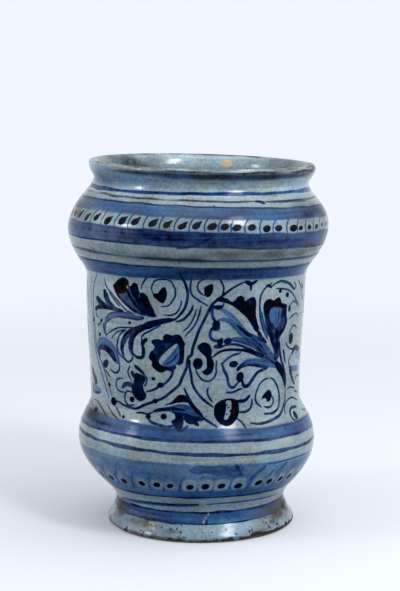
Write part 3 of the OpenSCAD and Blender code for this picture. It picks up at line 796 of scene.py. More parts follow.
def lay(canvas, mark, swell, shift=0.0, rise=0.0, wobble=0.0):
    """Lays one mark of the brush on the sheet."""
    closed = mark["kind"] in ("blot", "pool", "lift")
    knots = np.array(mark["points"], float)
    moved = knots + np.array([shift, rise])
    moved[:, 0] += wobble * 1.3 * np.sin(knots[:, 1] / 9 + 1)
    moved[:, 1] += wobble * 0.9 * np.sin(knots[:, 0] / 11)
    path = flow(moved, closed)
    share = np.linspace(0, 1, len(path))
    if closed:
        half = np.zeros(len(path))
    else:
        press = np.minimum(1, 0.45 + 3.0 * np.minimum(share, 1 - share)) ** 0.7
        half = np.interp(share, (0, 1), mark["widths"]) / 2 * press + swell / 2
    reach = half.max() + 2.5
    lo, hi = path.min(0) - reach, path.max(0) + reach
    outside = canvas["z"][: canvas["crest"]]
    rows = np.flatnonzero((outside > lo[1]) & (outside < hi[1]))
    count = len(canvas["theta"])
    pace = 2 * math.pi * SCROLL_R / count
    columns = np.arange(math.floor(lo[0] / pace), math.ceil(hi[0] / pace) + 1)
    spot = np.ix_(rows, (columns + count // 2) % count)
    grid_u, grid_z = np.meshgrid(columns * pace, canvas["z"][rows])
    away = np.full(grid_u.shape, CLEAR)
    nearest = np.zeros(grid_u.shape, int)
    for k, ((pu, pz), h) in enumerate(zip(path, half)):
        gap = np.hypot(grid_u - pu, grid_z - pz) - h
        closer = gap < away
        away[closer] = gap[closer]
        nearest[closer] = k
    if closed:
        away = np.where(inside_shape(grid_u, grid_z, path), -away, away)
    old_gap, old_load, old_wash = canvas["gap"][spot], canvas["load"][spot], canvas["wash"][spot]
    if mark["kind"] in ("ink", "blot"):
        away = np.where(away < 0, STEEP * away, away)
        covered = np.where(old_gap < 0, np.maximum(old_load, mark["load"]), mark["load"])
        load = np.where(away < 0.25, covered, np.where(away < old_gap, mark["load"], old_load))
        canvas["load"][spot] = load
        canvas["gap"][spot] = np.minimum(old_gap, away)
    elif mark["kind"] == "lift":
        canvas["gap"][spot] = np.maximum(old_gap, -away)
        free = soft_step(away, -mark["soft"], mark["soft"])
        canvas["wash"][spot] = old_wash * (mark["load"] + (1 - mark["load"]) * free)
    else:
        load = mark["load"]
        if mark["kind"] == "wash":
            load = np.interp(share, (0, 1), load)[nearest]
            ahead = np.gradient(path, axis=0)[nearest]
            offset = np.stack([grid_u, grid_z], -1) - path[nearest]
            across = (offset[..., 0] * ahead[..., 1] - offset[..., 1] * ahead[..., 0]) / np.hypot(*ahead.T).T
            phase = 3.7 * knots[0, 0]
            hairs = np.sin(2.3 * across + phase) + 0.7 * np.sin(5.1 * across + 1.7 * phase)
            hairs = hairs + 0.5 * np.sin(9.0 * across)
            load = load * (1 + HAIRS * hairs)
        edge = 0.86 + 0.14 * soft_step(away, -1.6, -0.3)
        canvas["wash"][spot] = np.maximum(old_wash, load * edge * (1 - soft_step(away, -0.35, 0.45)))


def ring(left, front, right):
    """A height, width or load all round, from its values 60 degrees left, in front and 60 degrees right."""
    sway = (right - left) / (2 * math.sin(math.radians(60)))
    bow = min(2.2, max(-2.2, 2 * front - left - right))
    return lambda theta: front - bow + sway * np.sin(theta) + bow * np.cos(theta)


def lay_ring(canvas, level, half, load, seed, breaks=0.0):
    """A line round the jar; breaks lets it run dry in places."""
    theta, z = canvas["theta"][None], canvas["z"][:, None]
    tremble = 0.22 * drift(theta, 0 * theta, seed, 26, 50)
    half, load = (part(theta) if callable(part) else part for part in (half, load))
    thick = half * (1 + 0.25 * drift(theta, 0 * theta, seed + 50, 14, 50))
    thick = thick - breaks * np.maximum(0, drift(theta, 0 * theta, seed + 90, 9, 50))
    away = abs(z - level(theta) - tremble) - thick
    away[canvas["crest"]:] = CLEAR
    load = load * (1 + 0.06 * drift(theta, 0 * theta, seed + 70, 18, 50))
    closer = away < canvas["gap"]
    canvas["gap"] = np.where(closer, away, canvas["gap"])
    canvas["load"] = np.where(closer, load, canvas["load"])


def lay_band(canvas, top, bottom, load, seed, uneven=0.1, edge=0.5):
    """A band of thin colour round the jar, streaked along it; its load may change on the way round."""
    theta, z = canvas["theta"][None], canvas["z"][:, None]
    shake = 0.3 * drift(theta, 0 * theta, seed, 22, 50)
    slip = 0.3 * drift(theta, 0 * theta, seed + 20, 22, 50)
    inner = np.minimum(top(theta) + shake - z, z - bottom(theta) - slip)
    full = load(theta) if callable(load) else load
    broad, fine = drift(theta, z, seed + 40, 9, 9), drift(theta, z, seed + 60, 7, 2.6)
    tone = full * (1 + uneven * broad + 0.5 * uneven * fine)
    tone = tone * (1 + 0.1 * soft_step(inner, 1.6, 0.4))
    wash = tone * soft_step(inner, -edge, edge)
    wash[canvas["crest"]:] = 0
    canvas["wash"] = np.maximum(canvas["wash"], wash)


def bead(u, z, size, slant, rng):
    """One slanting dot of a row."""
    lean = math.radians(slant + rng.uniform(-10, 10))
    wide, high = 2.35 * size * rng.uniform(0.92, 1.1), 1.85 * size * rng.uniform(0.92, 1.1)
    corners = []
    for turn in range(8):
        a, b = wide * math.cos(turn * math.pi / 4), high * math.sin(turn * math.pi / 4)
        across = a * math.cos(lean) - b * math.sin(lean)
        up = a * math.sin(lean) + b * math.cos(lean)
        corners.append((u + across, z + up))
    return blot(FULL_LOAD, *corners)


def all_round(front, pace, radius, seed):
    """Angles of a row of dots: the front ones as they stand, the back ones at a like pace."""
    rng = np.random.default_rng(seed)
    angles = [u / radius for u in front]
    free = 2 * math.pi - (angles[-1] - angles[0])
    count = round(free * radius / pace) - 1
    for k in range(1, count + 1):
        angles.append(angles[len(front) - 1] + free * (k + rng.uniform(-0.12, 0.12)) / (count + 1))
    return angles


def paint_skin(canvas):
    """Paints rings, dots and scroll on the sheet, and the painted shade of the neck."""
    shape = canvas["points"].shape[:2]
    canvas.update(gap=np.full(shape, CLEAR), load=np.zeros(shape), wash=np.zeros(shape))
    swell = bpy.context.scene.albarello_paint.swell / MM
    paint_shoulder_rings(canvas, swell)
    paint_drum_rings(canvas, swell)
    half_round = math.pi * SCROLL_R
    for mark in FRONT_SCROLL:
        lay(canvas, mark, swell)
        lay(canvas, mark, swell, shift=half_round, wobble=1.0)
    for start in GAP_STARTS:
        for motif, shift, rise in GAP_MOTIFS:
            for mark in motif:
                lay(canvas, mark, swell, shift=shift + start, rise=rise, wobble=0.6)


def paint_shoulder_rings(canvas, swell):
    """Rings and dots of the neck and the shoulder, with painted shade under the lip and on the neck's left.
    """
    lay_ring(canvas, ring(223.6, 224.4, 224.6), ring(1.05, 1.1, 1.35), ring(0.74, 0.72, 0.64), 11, breaks=0.2)
    # Painted shade on the neck's left side: a thin wash below the lip, fullest at the left
    lay_band(canvas, ring(236, 236, 236), ring(226, 226, 226), neck_left_shade, 12, 0.1, 2.0)
    # Painted shade under the lip's overhang: a thin dark wash from 233.4 to 237 mm, fullest in front
    lay_band(canvas, ring(237, 237, 237), ring(233.4, 233.4, 234), ring(0.14, 0.5, 0.3), 10, 0.08, 1.4)
    upper_load = ring(0.46, 0.47, 0.57)
    lay_band(canvas, ring(215.8, 217.2, 213), ring(211.6, 210.2, 206.8), upper_load, 13, 0.16, 0.7)
    lay_ring(canvas, ring(216, 217.0, 213), 0.45, 0.72, 14, breaks=0.6)
    lay_band(canvas, ring(204.2, 202.6, 198.4), ring(193.6, 192.6, 188), dark_front, 15, 0.06, 0.6)
    lay_ring(canvas, ring(193.9, 193.0, 188.4), 0.65, 0.8, 16, breaks=0.6)
    lay_ring(canvas, ring(186.6, 184.5, 182), 0.9, 0.66, 17, breaks=0.25)
    lay_band(canvas, ring(181, 179.7, 177), ring(171, 171.5, 168.7), ring(0.54, 0.63, 0.58), 18, 0.12, 0.8)
    lay_ring(canvas, ring(180, 179.2, 176), 0.7, 0.78, 19, breaks=0.8)
    run = sweep(2.0, 2.6, 0.84, 0.78, (-10, 192.6), (-5, 193.4), (0, 195.2), (4, 198), (7.5, 200))
    lay(canvas, run, swell)
    lay(canvas, stroke(1.0, 2.0, STEM_LOAD, (33, 219.9), (36, 219.6), (38.5, 218.6)), swell)
    lay(canvas, stroke(1.2, 1.0, 0.62, (40, 219.4), (52, 219), (66, 218.6), (76, 218)), swell)
    row = ring(207.5, 205.8, 201.8)
    rng = np.random.default_rng(31)
    angles = all_round(SHOULDER_DOTS, SHOULDER_PACE, SHOULDER_R, 32)
    for here, after in zip(angles, angles[1:] + [angles[0] + 2 * math.pi]):
        z = row(here) + rng.uniform(-0.6, 0.6)
        u = here * SCROLL_R
        size = rng.uniform(0.9, 1.12) * (SMALL_SIZE if SMALL_DOTS[0] < u < SMALL_DOTS[1] else 1.0)
        leaning = LEANING_DOTS[0] < u < LEANING_DOTS[1]
        lay(canvas, bead(u, z, size, 38 if leaning else 20, rng), swell)
        if leaning:
            tail = ((u + 0.8, z + 0.9), (u + 1.7, z + 1.8), (u + 2.5, z + 2.6))
            lay(canvas, stroke(2.0, 0.8, FULL_LOAD, *tail), swell)
        mid = (here * 0.45 + after * 0.55) * SCROLL_R
        sway = rng.uniform(-0.6, 0.6)
        head, foot = (mid + 2.6 + sway, z + 5.8), (mid + 0.9, z - 8 + sway)
        cell = stroke(0.9, 0.6, 0.66, head, (mid + 0.5, z + 2.6), (mid - 0.3, z - 1.5), foot)
        lay(canvas, cell, 0.0)


def neck_left_shade(theta):
    """Load of the neck's thin wash, which is painted shade on the neck's left side, fullest at the left."""
    return 0.02 + 0.33 * np.exp(-(((theta + math.radians(66)) / math.radians(43)) ** 2))


def dark_front(theta):
    """Load of the shoulder's broad band, fullest at the front."""
    return 0.61 + 0.14 * np.exp(-((theta / math.radians(38)) ** 2))


def paint_drum_rings(canvas, swell):
    """Rings and dots of the lower drum and the foot."""
    pace = SCROLL_R / DRUM_R
    lay_band(canvas, ring(79.5, 77.5, 74.6), ring(70.5, 69.6, 66.8), 0.54, 21, 0.2, 0.7)
    lay_ring(canvas, ring(70.8, 69.9, 67.2), 0.85, 0.76, 22, breaks=0.4)
    lay_ring(canvas, ring(64.7, 62, 59.2), 1.1, 0.74, 23, breaks=0.4)
    lay_band(canvas, ring(57, 55.8, 53), ring(36, 36.4, 36), ring(0.33, 0.34, 0.33), 24, 0.2, 0.8)
    lay_band(canvas, ring(38, 38, 38), ring(30.4, 31, 30.2), ring(0.42, 0.51, 0.46), 25, 0.16, 0.9)
    lay_ring(canvas, ring(30, 31, 30.4), 0.8, 0.82, 26, breaks=0.35)
    lay_band(canvas, ring(19.4, 19.6, 19.4), ring(12, 11.4, 12.2), ring(0.68, 0.5, 0.44), 28, 0.26, 0.6)
    lay_ring(canvas, ring(18.4, 18.8, 18.6), 1.0, 0.8, 29, breaks=0.7)
    lay_ring(canvas, ring(12.2, 11.6, 12.4), 0.5, 0.82, 33, breaks=0.9)
    lay_band(canvas, ring(12, 12, 12), ring(1, 1, 1), 0.06, 34, 0.4, 0.8)
    ankle = (
        sweep(2.2, 2.6, 0.5, 0.66, (-84, 20.4), (-70, 21.4), (-55, 22.4), (-38, 23.4), (-20, 24.1),
              (-8, 24.6), (-1, 25)),
        stroke(1.0, 2.0, LINE_LOAD, (-62, 22.6), (-45, 23.6), (-30, 24), (-20, 24.3), (-8, 24.8),
               (-1, 25.2)),
        stroke(0.8, 0.8, 0.7, (46, 52.5), (60, 52.6), (75, 52.4), (92, 51.6)),
        stroke(1.1, 0.9, 0.62, (6, 25.3), (20, 25.8), (40, 25.6), (60, 25), (78, 24.4)),
        stroke(1.2, 2.2, LINE_LOAD, (84, 24.4), (130, 24.8), (190, 24), (240, 23), (290, 22.2),
               (352, 20.6)),
        pool(0.63, (-3, 53), (1, 55.4), (8, 54.6), (15, 55), (20, 53.8), (26, 54.6), (29.5, 52.6),
             (28.4, 50), (29, 47.6), (25, 45.6), (21, 46.8), (18, 48.6), (12, 48), (6, 49.8), (0, 49.2),
             (-3.6, 51)),
        sweep(2.6, 3.6, 0.6, 0.69, (4, 51.6), (12, 51), (20, 51.4), (26, 50.6)),
        sweep(2.4, 1.6, 0.78, 0.7, (24, 54.4), (26, 51), (27, 47)),
        sweep(3.2, 2.0, 0.66, 0.6, (44, 51.5), (38, 47), (33, 42.5)),
        sweep(2.4, 2.0, 0.6, 0.5, (62, 51), (57, 47.5), (53, 43)),
        lift((1.8, 12.2), (3, 11.8), (3.8, 13.4), (3, 14.2)),
        lift((4.2, 14.6), (5, 14.2), (6, 16.6), (5.2, 16.8)),
        lift((6.4, 17.4), (8, 17.2), (7.6, 18.8), (6.6, 18.4)),
        stroke(1.4, 0.8, DEEP_LOAD, (4.6, 11.6), (5.6, 13), (5.2, 14.4)),
        *(dab(u, z, size, size) for u, z, size in FOOT_PITS),
    )
    for mark in ankle:
        moved = dict(mark, points=tuple((u * pace, z) for u, z in mark["points"]))
        lay(canvas, moved, swell)
    row = ring(38.9, 39.8, 38.8)
    rng = np.random.default_rng(41)
    angles = all_round(DRUM_DOTS, DRUM_PACE, DRUM_R, 42)
    for here, after in zip(angles, angles[1:] + [angles[0] + 2 * math.pi]):
        z = row(here) + rng.uniform(-0.5, 0.5)
        size = rng.uniform(0.92, 1.1)
        u = here * SCROLL_R
        if BOXED_DOTS[0] < u < BOXED_DOTS[1]:
            room, soft, keep = DOT_BOX, 0.9, 0.25
        else:
            room, soft, keep = DOT_OVAL, 2.2, 0.35
        lay(canvas, lift(*((u + side, level) for side, level in room), soft=soft, keep=keep), swell)
        lay(canvas, bead(u, z, size, 20, rng), swell)
        mid = (here * 0.5 + after * 0.5) * SCROLL_R
        sway = rng.uniform(-0.7, 0.7)
        slant = sweep(2.6, 1.2, 0.5, 0.62, (mid + 4 + sway, 47.5), (mid + 1.2, 42), (mid - 0.6, 36))
        lay(canvas, slant, 0.0)
        cell = line(0.6, (mid + 1.8, 44.5), (mid - 0.2, 40), (mid - 1.2 + sway, 34))
        lay(canvas, cell, 0.0)


# Height of the bare edge at the foot, how much more is bare at the right, and its ragged line
BARE_EDGE = 2.5
BARE_SLANT = 1.3
BARE_WAVER = 0.9
# Chip in the glaze inside the neck, as for the foot's chips, and the height above which it may show
NECK_CHIP = (164.4, 234.3, 4.0, 2.3)
NECK_FOOT = 225
# Heights inside the mouth over which its dirt sets in, and how fast dirt and painted shade cover the glaze
MOUTH_DIRT = (218, 232)
DIRT_AND_SHADE_POWER = 1.7
# Stains and painted shade: degrees to the right of the front, height, half width and half height in mm, depth
# Painted shade: the two at 235.7 and 236 mm stand for the shadow under the lip, the one at 230 mm for the
# shaded left of the neck
STAINS_AND_SHADE = (
    (-67, 12.5, 10, 4.5, 0.88), (-95, 13, 12, 8, 0.5), (-40, 9, 15, 2.8, 0.66), (-19, 6.8, 5, 1.6, 0.62),
    (58, 12, 19, 5.6, 0.88), (75, 15, 18, 8, 0.88), (50, 8, 12, 3.4, 0.6), (90, 13, 12, 8, 0.5),
    (54, 8.5, 11, 3, 0.5), (40, 4.5, 14, 2.2, 0.45), (-50, 80.5, 13, 3, 0.4), (-72, 79, 15, 6, 0.68),
    (150, 14, 40, 8, 0.24), (-140, 13, 40, 8, 0.2), (170, 84, 30, 7, 0.3), (-66, 230, 24, 5, 0.34),
    (22, 235.7, 50, 2.5, 0.84), (-30, 236, 30, 1.6, 0.62), (84, 238.4, 15, 2.2, 0.75),
    (70, 236.9, 10, 1.1, 0.8), (-86, 238, 12, 1.6, 0.6), (-76, 211, 22, 9, 0.42), (66, 212, 26, 8, 0.45),
)
# Film that goes all round, of dirt and painted shade: height, half height in mm, depth
# At 186.6 mm it is dirt and painted shade under the shoulder, at 235.6 mm painted shade under the lip,
# elsewhere dirt
FILMS_AND_SHADE = (
    (186.6, 4.6, 0.4), (206, 4, 0.08), (213, 5, 0.17), (219.6, 3, 0.08), (66, 8, 0.06), (75, 4, 0.08),
    (235.6, 1.6, 0.1),
)
# Thin dirty lines all round: heights at the left, the front and the right, half height in mm, depths there
DIRT_LINES = (
    ((237.6, 237.7, 237.8), 0.9, (0.3, 0.8, 0.95)),
    ((220.6, 220.2, 219.2), 0.62, (0.9, 0.95, 0.9)),
    ((216, 217, 213), 0.5, (0.6, 0.6, 0.6)),
    ((2.8, 2.4, 2.8), 0.7, (0.6, 0.6, 0.6)),
)


def wear_skin(canvas):
    """Marks of age: dirt, bare clay and rubbed glaze, with painted shade under the lip, under the shoulder
    and on the neck's left.
    """
    theta, z = np.meshgrid(canvas["theta"], canvas["z"])
    rows = np.arange(len(canvas["z"]))[:, None] + 0 * theta
    inside = rows > canvas["crest"]
    bare = z - BARE_EDGE - BARE_SLANT * np.sin(theta - 0.2) - BARE_WAVER * drift(theta, 0 * z, 61, 70, 50)
    bare = np.where(inside, CLEAR, bare)
    bare = np.minimum(bare, np.where(canvas["chips"] > 0, 2.2 - 4 * canvas["chips"], CLEAR))
    turn, high, wide, tall = NECK_CHIP
    away = turn_from(theta, turn) * THROAT_R
    spot = (np.hypot(away / wide, (z - high) / tall) - 1) * tall
    bare = np.where(inside & (z > NECK_FOOT), np.minimum(bare, spot + 0.8 * drift(theta, z, 62, 70, 4)), bare)
    top = canvas["z"].max()
    worn = soft_step(z, top - 2.4, top - 0.4) * (0.42 + 0.4 * drift(theta, z, 63, 30, 12))
    foot = (1 - soft_step(z, 1.5, 9)) * (0.4 + 0.5 * drift(theta, z, 64, 24, 9)) * ~inside
    worn = np.maximum(worn, foot)
    grime = np.zeros(z.shape)
    for turn, level, wide, tall, depth in STAINS_AND_SHADE:
        away = turn_from(theta, turn) * STAIN_R / wide
        grime = np.maximum(grime, depth * np.exp(-(away**2) - ((z - level) / tall) ** 2))
    patchy = 1 + 0.14 * drift(theta, z, 66, 12, 14)
    fading = 1 - 0.5 * np.maximum(-np.sin(theta), 0) - 0.1 * np.maximum(np.sin(theta), 0)
    for level, tall, depth in FILMS_AND_SHADE:
        grime = np.maximum(grime, depth * patchy * fading * np.exp(-(((z - level) / tall) ** 2)))
    grime *= 1 + 0.3 * drift(theta, z, 65, 30, 8)
    for seed, (levels, tall, depths) in enumerate(DIRT_LINES):
        level = ring(*levels)(theta) + 0.25 * drift(theta, 0 * z, 70 + seed, 24, 50)
        depth = np.clip(ring(*depths)(theta), 0, 1)
        share = np.clip(0.85 + 0.5 * drift(theta, 0 * z, 80 + seed, 16, 50), 0.35, 1)
        grime = np.maximum(grime, depth * share * np.exp(-(((z - level) / tall) ** 2)))
    sides = 0.44 * soft_step(np.sin(theta), 0.1, 0.9) + 0.5 * soft_step(-np.sin(theta), 0.2, 0.8)
    mouth = sides * soft_step(z, *MOUTH_DIRT) * (1 + 0.3 * drift(theta, z, 68, 20, 10))
    grime = np.where(inside, mouth, grime)
    crest_dirt = np.clip(0.4 + 0.4 * drift(theta, z, 67, 40, 6), 0, 1)
    crest_dirt = crest_dirt * np.exp(-(((z - top) / 0.9) ** 2))
    grime = np.maximum(grime, crest_dirt)
    canvas.update(bare=bare, worn=np.clip(worn, 0, 1), grime=1 - (1 - np.clip(grime, 0, 1)) ** DIRT_AND_SHADE_POWER)


# Meshes


BACK_EVERY = 5
MAP_EDGE = 0.012
FRONT_SHARE = 0.88
BACK_FOOT, BACK_HEAD = 0.90, 0.965
END_STRIPS = ((0.973, 0.981), (0.988, 0.996))
# Chips go deeper in the clay than in the glaze, below this height and outside this radius
CLAY_CHIP = 1.7
CLAY_CHIP_TOP = 10
CLAY_CHIP_R = 56


def glaze_shell(name, number, material, slot, *nodes):
    """One band of a glaze coat: the sheet in front, its bonded face behind and the two ends."""
    jar = skin()
    strips = BANDS[number][2]
    start, end = jar["edges"][number], jar["edges"][number + 1]
    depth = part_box("outer_glaze")[1].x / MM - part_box("shoulder_drum")[1].x / MM
    rows = np.arange(start, end + 1)
    back_rows = np.unique(np.linspace(start, end, max(2, len(rows) // BACK_EVERY)).astype(int))
    columns = len(jar["theta"])
    front = jar["points"][rows].reshape(-1, 3)
    behind = (jar["points"] - depth * jar["normals"])[back_rows].reshape(-1, 3)
    normals = np.vstack([jar["normals"][rows].reshape(-1, 3), -jar["normals"][back_rows].reshape(-1, 3)])
    count, back_count = len(rows), len(back_rows)
    here, after = np.arange(columns), (np.arange(columns) + 1) % columns

    def quads(low, high, flip):
        a, b, c, d = low + here, low + after, high + after, high + here
        return np.stack([a, d, c, b] if flip else [a, b, c, d], -1)

    base = count * columns
    faces, maps = [], []
    per_strip = columns // strips
    strip = here // per_strip
    left = MAP_EDGE + (here % per_strip) / per_strip * (1 - 2 * MAP_EDGE)
    right = left + (1 - 2 * MAP_EDGE) / per_strip
    strip_tall = FRONT_SHARE / strips

    def map_quads(u0, u1, v0, v1, flip):
        corners = [(u0, v0), (u1, v0), (u1, v1), (u0, v1)]
        if flip:
            corners = [corners[k] for k in (0, 3, 2, 1)]
        return np.stack([np.stack(np.broadcast_arrays(u, v), -1) for u, v in corners], 1)

    for i in range(count - 1):
        faces.append(quads(i * columns, (i + 1) * columns, False))
        low = strip * strip_tall + MAP_EDGE + i / (count - 1) * (strip_tall - 2 * MAP_EDGE)
        maps.append(map_quads(left, right, low, low + (strip_tall - 2 * MAP_EDGE) / (count - 1), False))
    u0 = MAP_EDGE + here / columns * (1 - 2 * MAP_EDGE)
    u1 = u0 + (1 - 2 * MAP_EDGE) / columns
    for i in range(back_count - 1):
        faces.append(quads(base + i * columns, base + (i + 1) * columns, True))
        v = BACK_FOOT + (BACK_HEAD - BACK_FOOT) * np.array([i, i + 1]) / (back_count - 1)
        maps.append(map_quads(u0, u1, v[0] + 0 * u0, v[1] + 0 * u0, True))
    ends = ((0, base, True), ((count - 1) * columns, base + (back_count - 1) * columns, False))
    for (front_row, back_row, flip), (v0, v1) in zip(ends, END_STRIPS):
        faces.append(quads(front_row, back_row, flip))
        maps.append(map_quads(u0, u1, v0 + 0 * u0, v1 + 0 * u0, flip))
    corners = np.vstack(faces)
    mesh = bpy.data.meshes.new(name)
    mesh.vertices.add(len(front) + len(behind))
    mesh.vertices.foreach_set("co", (np.vstack([front, behind]) * MM).astype(np.float32).ravel())
    mesh.loops.add(corners.size)
    mesh.loops.foreach_set("vertex_index", corners.astype(np.int32).ravel())
    mesh.polygons.add(len(corners))
    mesh.polygons.foreach_set("loop_start", np.arange(0, corners.size, 4, dtype=np.int32))
    mesh.polygons.foreach_set("use_smooth", np.ones(len(corners), bool))
    mesh.update(calc_edges=True)
    uv = mesh.uv_layers.new(name="OFBake")
    uv.data.foreach_set("uv", np.concatenate(maps).astype(np.float32).ravel())
    for label, parts, blank in (
        ("paint", ("gap", "load", "wash"), (CLEAR, 0, 0)),
        ("wear", ("grime", "bare", "worn"), (0, CLEAR, 0)),
    ):
        seen = np.stack([jar[p][rows] for p in parts], -1).reshape(-1, 3)
        values = np.vstack([seen, np.tile(blank, (len(behind), 1))])
        layer = mesh.attributes.new(label, "FLOAT_VECTOR", "POINT")
        layer.data.foreach_set("vector", values.astype(np.float32).ravel())
    mesh.normals_split_custom_set_from_vertices(normals.astype(np.float32))
    return stand(name, mesh, material, slot, *nodes)


def stand(name, mesh, material, slot, *nodes):
    """Puts a finished piece in the scene in place of its nodes."""
    mesh.materials.append(material)
    piece = bpy.data.objects.new(name, mesh)
    bpy.context.scene.collection.objects.link(piece)
    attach(piece, BODY)
    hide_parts(*nodes)
    return piece


def hidden_section(name, node, material, slot):
    """A clay or slip section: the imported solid, welded and set along the leaning axis."""
    work = bmesh.new()
    work.from_mesh(frame["nodes"][node].data)
    bmesh.ops.remove_doubles(work, verts=work.verts, dist=1e-6)
    chip = bpy.context.scene.albarello_wear.chip * CLAY_CHIP / MM
    for vert in work.verts:
        x, y, z = vert.co / MM
        r = math.hypot(x, y)
        at_edge = z < CLAY_CHIP_TOP and r > CLAY_CHIP_R
        keep = 1 - float(chip_depth(math.atan2(x, -y), z)) * chip / r if at_edge else 1
        x, y, z = settle(x * keep, y * keep, z)
        vert.co = Vector((float(x), float(y), float(z))) * MM
    for face in work.faces:
        face.smooth = True
    mesh = bpy.data.meshes.new(name)
    work.to_mesh(mesh)
    work.free()
    mesh.set_sharp_from_angle(angle=math.radians(40))
    return stand(name, mesh, material, slot, node)


# Shader helpers


def place(tree, kind, sockets=(), **settings):
    """Adds a node, sets it and joins or fills its inputs."""
    node = tree.nodes.new(kind)
    for key, value in settings.items():
        setattr(node, key, value)
    for key, value in dict(sockets).items():
        if isinstance(value, bpy.types.NodeSocket):
            tree.links.new(value, node.inputs[key])
        else:
            node.inputs[key].default_value = value
    return node


def calc(tree, operation, *values):
    """One sum."""
    return place(tree, "ShaderNodeMath", dict(enumerate(values)), operation=operation).outputs[0]


def ease(tree, value, low, high, to_low=0.0, to_high=1.0):
    """A smooth step from low to high."""
    sockets = {0: value, 1: low, 2: high, 3: to_low, 4: to_high}
    return place(tree, "ShaderNodeMapRange", sockets, interpolation_type="SMOOTHSTEP").outputs[0]


def tint(tree, share, under, over, mode="MIX"):
    """One colour over another."""
    sockets = {0: share, 6: under, 7: over}
    return place(tree, "ShaderNodeMix", sockets, data_type="RGBA", blend_type=mode).outputs[2]


def grain(tree, where, scale, detail=2.0, rough=0.55):
    """Plain noise, 0 to 1."""
    sockets = {"Vector": where, "Scale": scale, "Detail": detail, "Roughness": rough}
    return place(tree, "ShaderNodeTexNoise", sockets).outputs["Fac"]


def stretched(tree, where, wide, high):
    """Coordinates drawn out, so that noise runs along the turning or down the wall."""
    sockets = {0: where, 1: (wide, wide, high)}
    return place(tree, "ShaderNodeVectorMath", sockets, operation="MULTIPLY").outputs[0]


def opaque(colour):
    """A colour with full cover."""
    return tuple(colour) + (1.0,)


def new_group(name, inputs, outputs):
    """An empty node group with named sockets, and its two ends."""
    tree = bpy.data.node_groups.new(name, "ShaderNodeTree")
    for label, default in inputs:
        socket = tree.interface.new_socket(label, in_out="INPUT", socket_type="NodeSocketFloat")
        socket.default_value = default
    for label in outputs:
        tree.interface.new_socket(label, in_out="OUTPUT", socket_type="NodeSocketFloat")
    return tree, tree.nodes.new("NodeGroupInput").outputs, tree.nodes.new("NodeGroupOutput").inputs


def glaze_skin_group():
    """Tin glaze as it fires: clouds, flecks, wiping streaks, pinholes and a faint ripple."""
    if "Tin glaze skin" in bpy.data.node_groups:
        return bpy.data.node_groups["Tin glaze skin"]
    tree, given, made = new_group(
        "Tin glaze skin", [("Pinholes", 0.12)], ["Tone", "Pinhole", "Height", "Streak"]
    )
    where = place(tree, "ShaderNodeTexCoord").outputs["Object"]
    cloud = ease(tree, grain(tree, where, 46.0, 4.0, 0.6), 0.32, 0.68)
    fleck = ease(tree, grain(tree, where, 480.0, 3.0, 0.65), 0.34, 0.66)
    streak = ease(tree, grain(tree, stretched(tree, where, 11.0, 620.0), 1.0, 3.0, 0.6), 0.3, 0.7)
    tone = calc(tree, "ADD", calc(tree, "MULTIPLY", cloud, 0.4), calc(tree, "MULTIPLY", fleck, 0.4))
    tone = calc(tree, "ADD", tone, calc(tree, "MULTIPLY", streak, 0.2))
    cells = place(tree, "ShaderNodeTexVoronoi", {"Vector": where, "Scale": 240.0})
    gate = ease(tree, grain(tree, where, 70.0, 2.0), 0.52, 0.7)
    reach = calc(tree, "MULTIPLY", given["Pinholes"], gate)
    hole = calc(tree, "LESS_THAN", cells.outputs["Distance"], reach)
    height = calc(tree, "ADD", grain(tree, where, 260.0, 2.0), calc(tree, "MULTIPLY", streak, 0.2))
    height = calc(tree, "SUBTRACT", height, calc(tree, "MULTIPLY", hole, 1.5))
    for label, socket in (("Tone", tone), ("Pinhole", hole), ("Height", height), ("Streak", streak)):
        tree.links.new(socket, made[label])
    return tree


def clay_grain_group():
    """Fired clay: coarse and fine grain with turning marks."""
    if "Clay grain" in bpy.data.node_groups:
        return bpy.data.node_groups["Clay grain"]
    tree, given, made = new_group("Clay grain", [("Turning", 0.5)], ["Tone", "Height"])
    where = place(tree, "ShaderNodeTexCoord").outputs["Object"]
    coarse = grain(tree, where, 90.0, 4.0, 0.65)
    fine = grain(tree, where, 900.0, 3.0, 0.7)
    turned = grain(tree, stretched(tree, where, 20.0, 900.0), 1.0, 2.0)
    tone = calc(tree, "ADD", calc(tree, "MULTIPLY", coarse, 0.6), calc(tree, "MULTIPLY", fine, 0.4))
    height = calc(tree, "ADD", fine, calc(tree, "MULTIPLY", turned, given["Turning"]))
    tree.links.new(tone, made["Tone"])
    tree.links.new(height, made["Height"])
    return tree


def new_material(name):
    """A fresh material with its shader and output."""
    material = bpy.data.materials.new(name)
    material.use_nodes = True
    tree = material.node_tree
    tree.nodes.clear()
    shader = tree.nodes.new("ShaderNodeBsdfPrincipled")
    out = tree.nodes.new("ShaderNodeOutputMaterial")
    tree.links.new(shader.outputs[0], out.inputs[0])
    return material, tree, shader


def finish_surface(tree, shader, colour, rough, height, relief, distance):
    """Joins colour, roughness and relief to the shader."""
    tree.links.new(colour, shader.inputs["Base Color"])
    tree.links.new(rough, shader.inputs["Roughness"])
    bump = place(tree, "ShaderNodeBump", {"Height": height, "Strength": relief, "Distance": distance})
    tree.links.new(bump.outputs[0], shader.inputs["Normal"])


# Heights in metres over which glaze and clay change at the table, the foot, the ankle and the neck, where
# light is painted
SOOT_LEVEL = (0.003, 0.009)
FOOT_LEVEL = (0.01, 0.016)
SHINE_LEVEL = (0.016, 0.03)
BURNT_LEVEL = (0.02, 0.04)
ANKLE_LEVEL = (0.02, 0.035)
NECK_LIGHT_LEVEL = (0.214, 0.225)


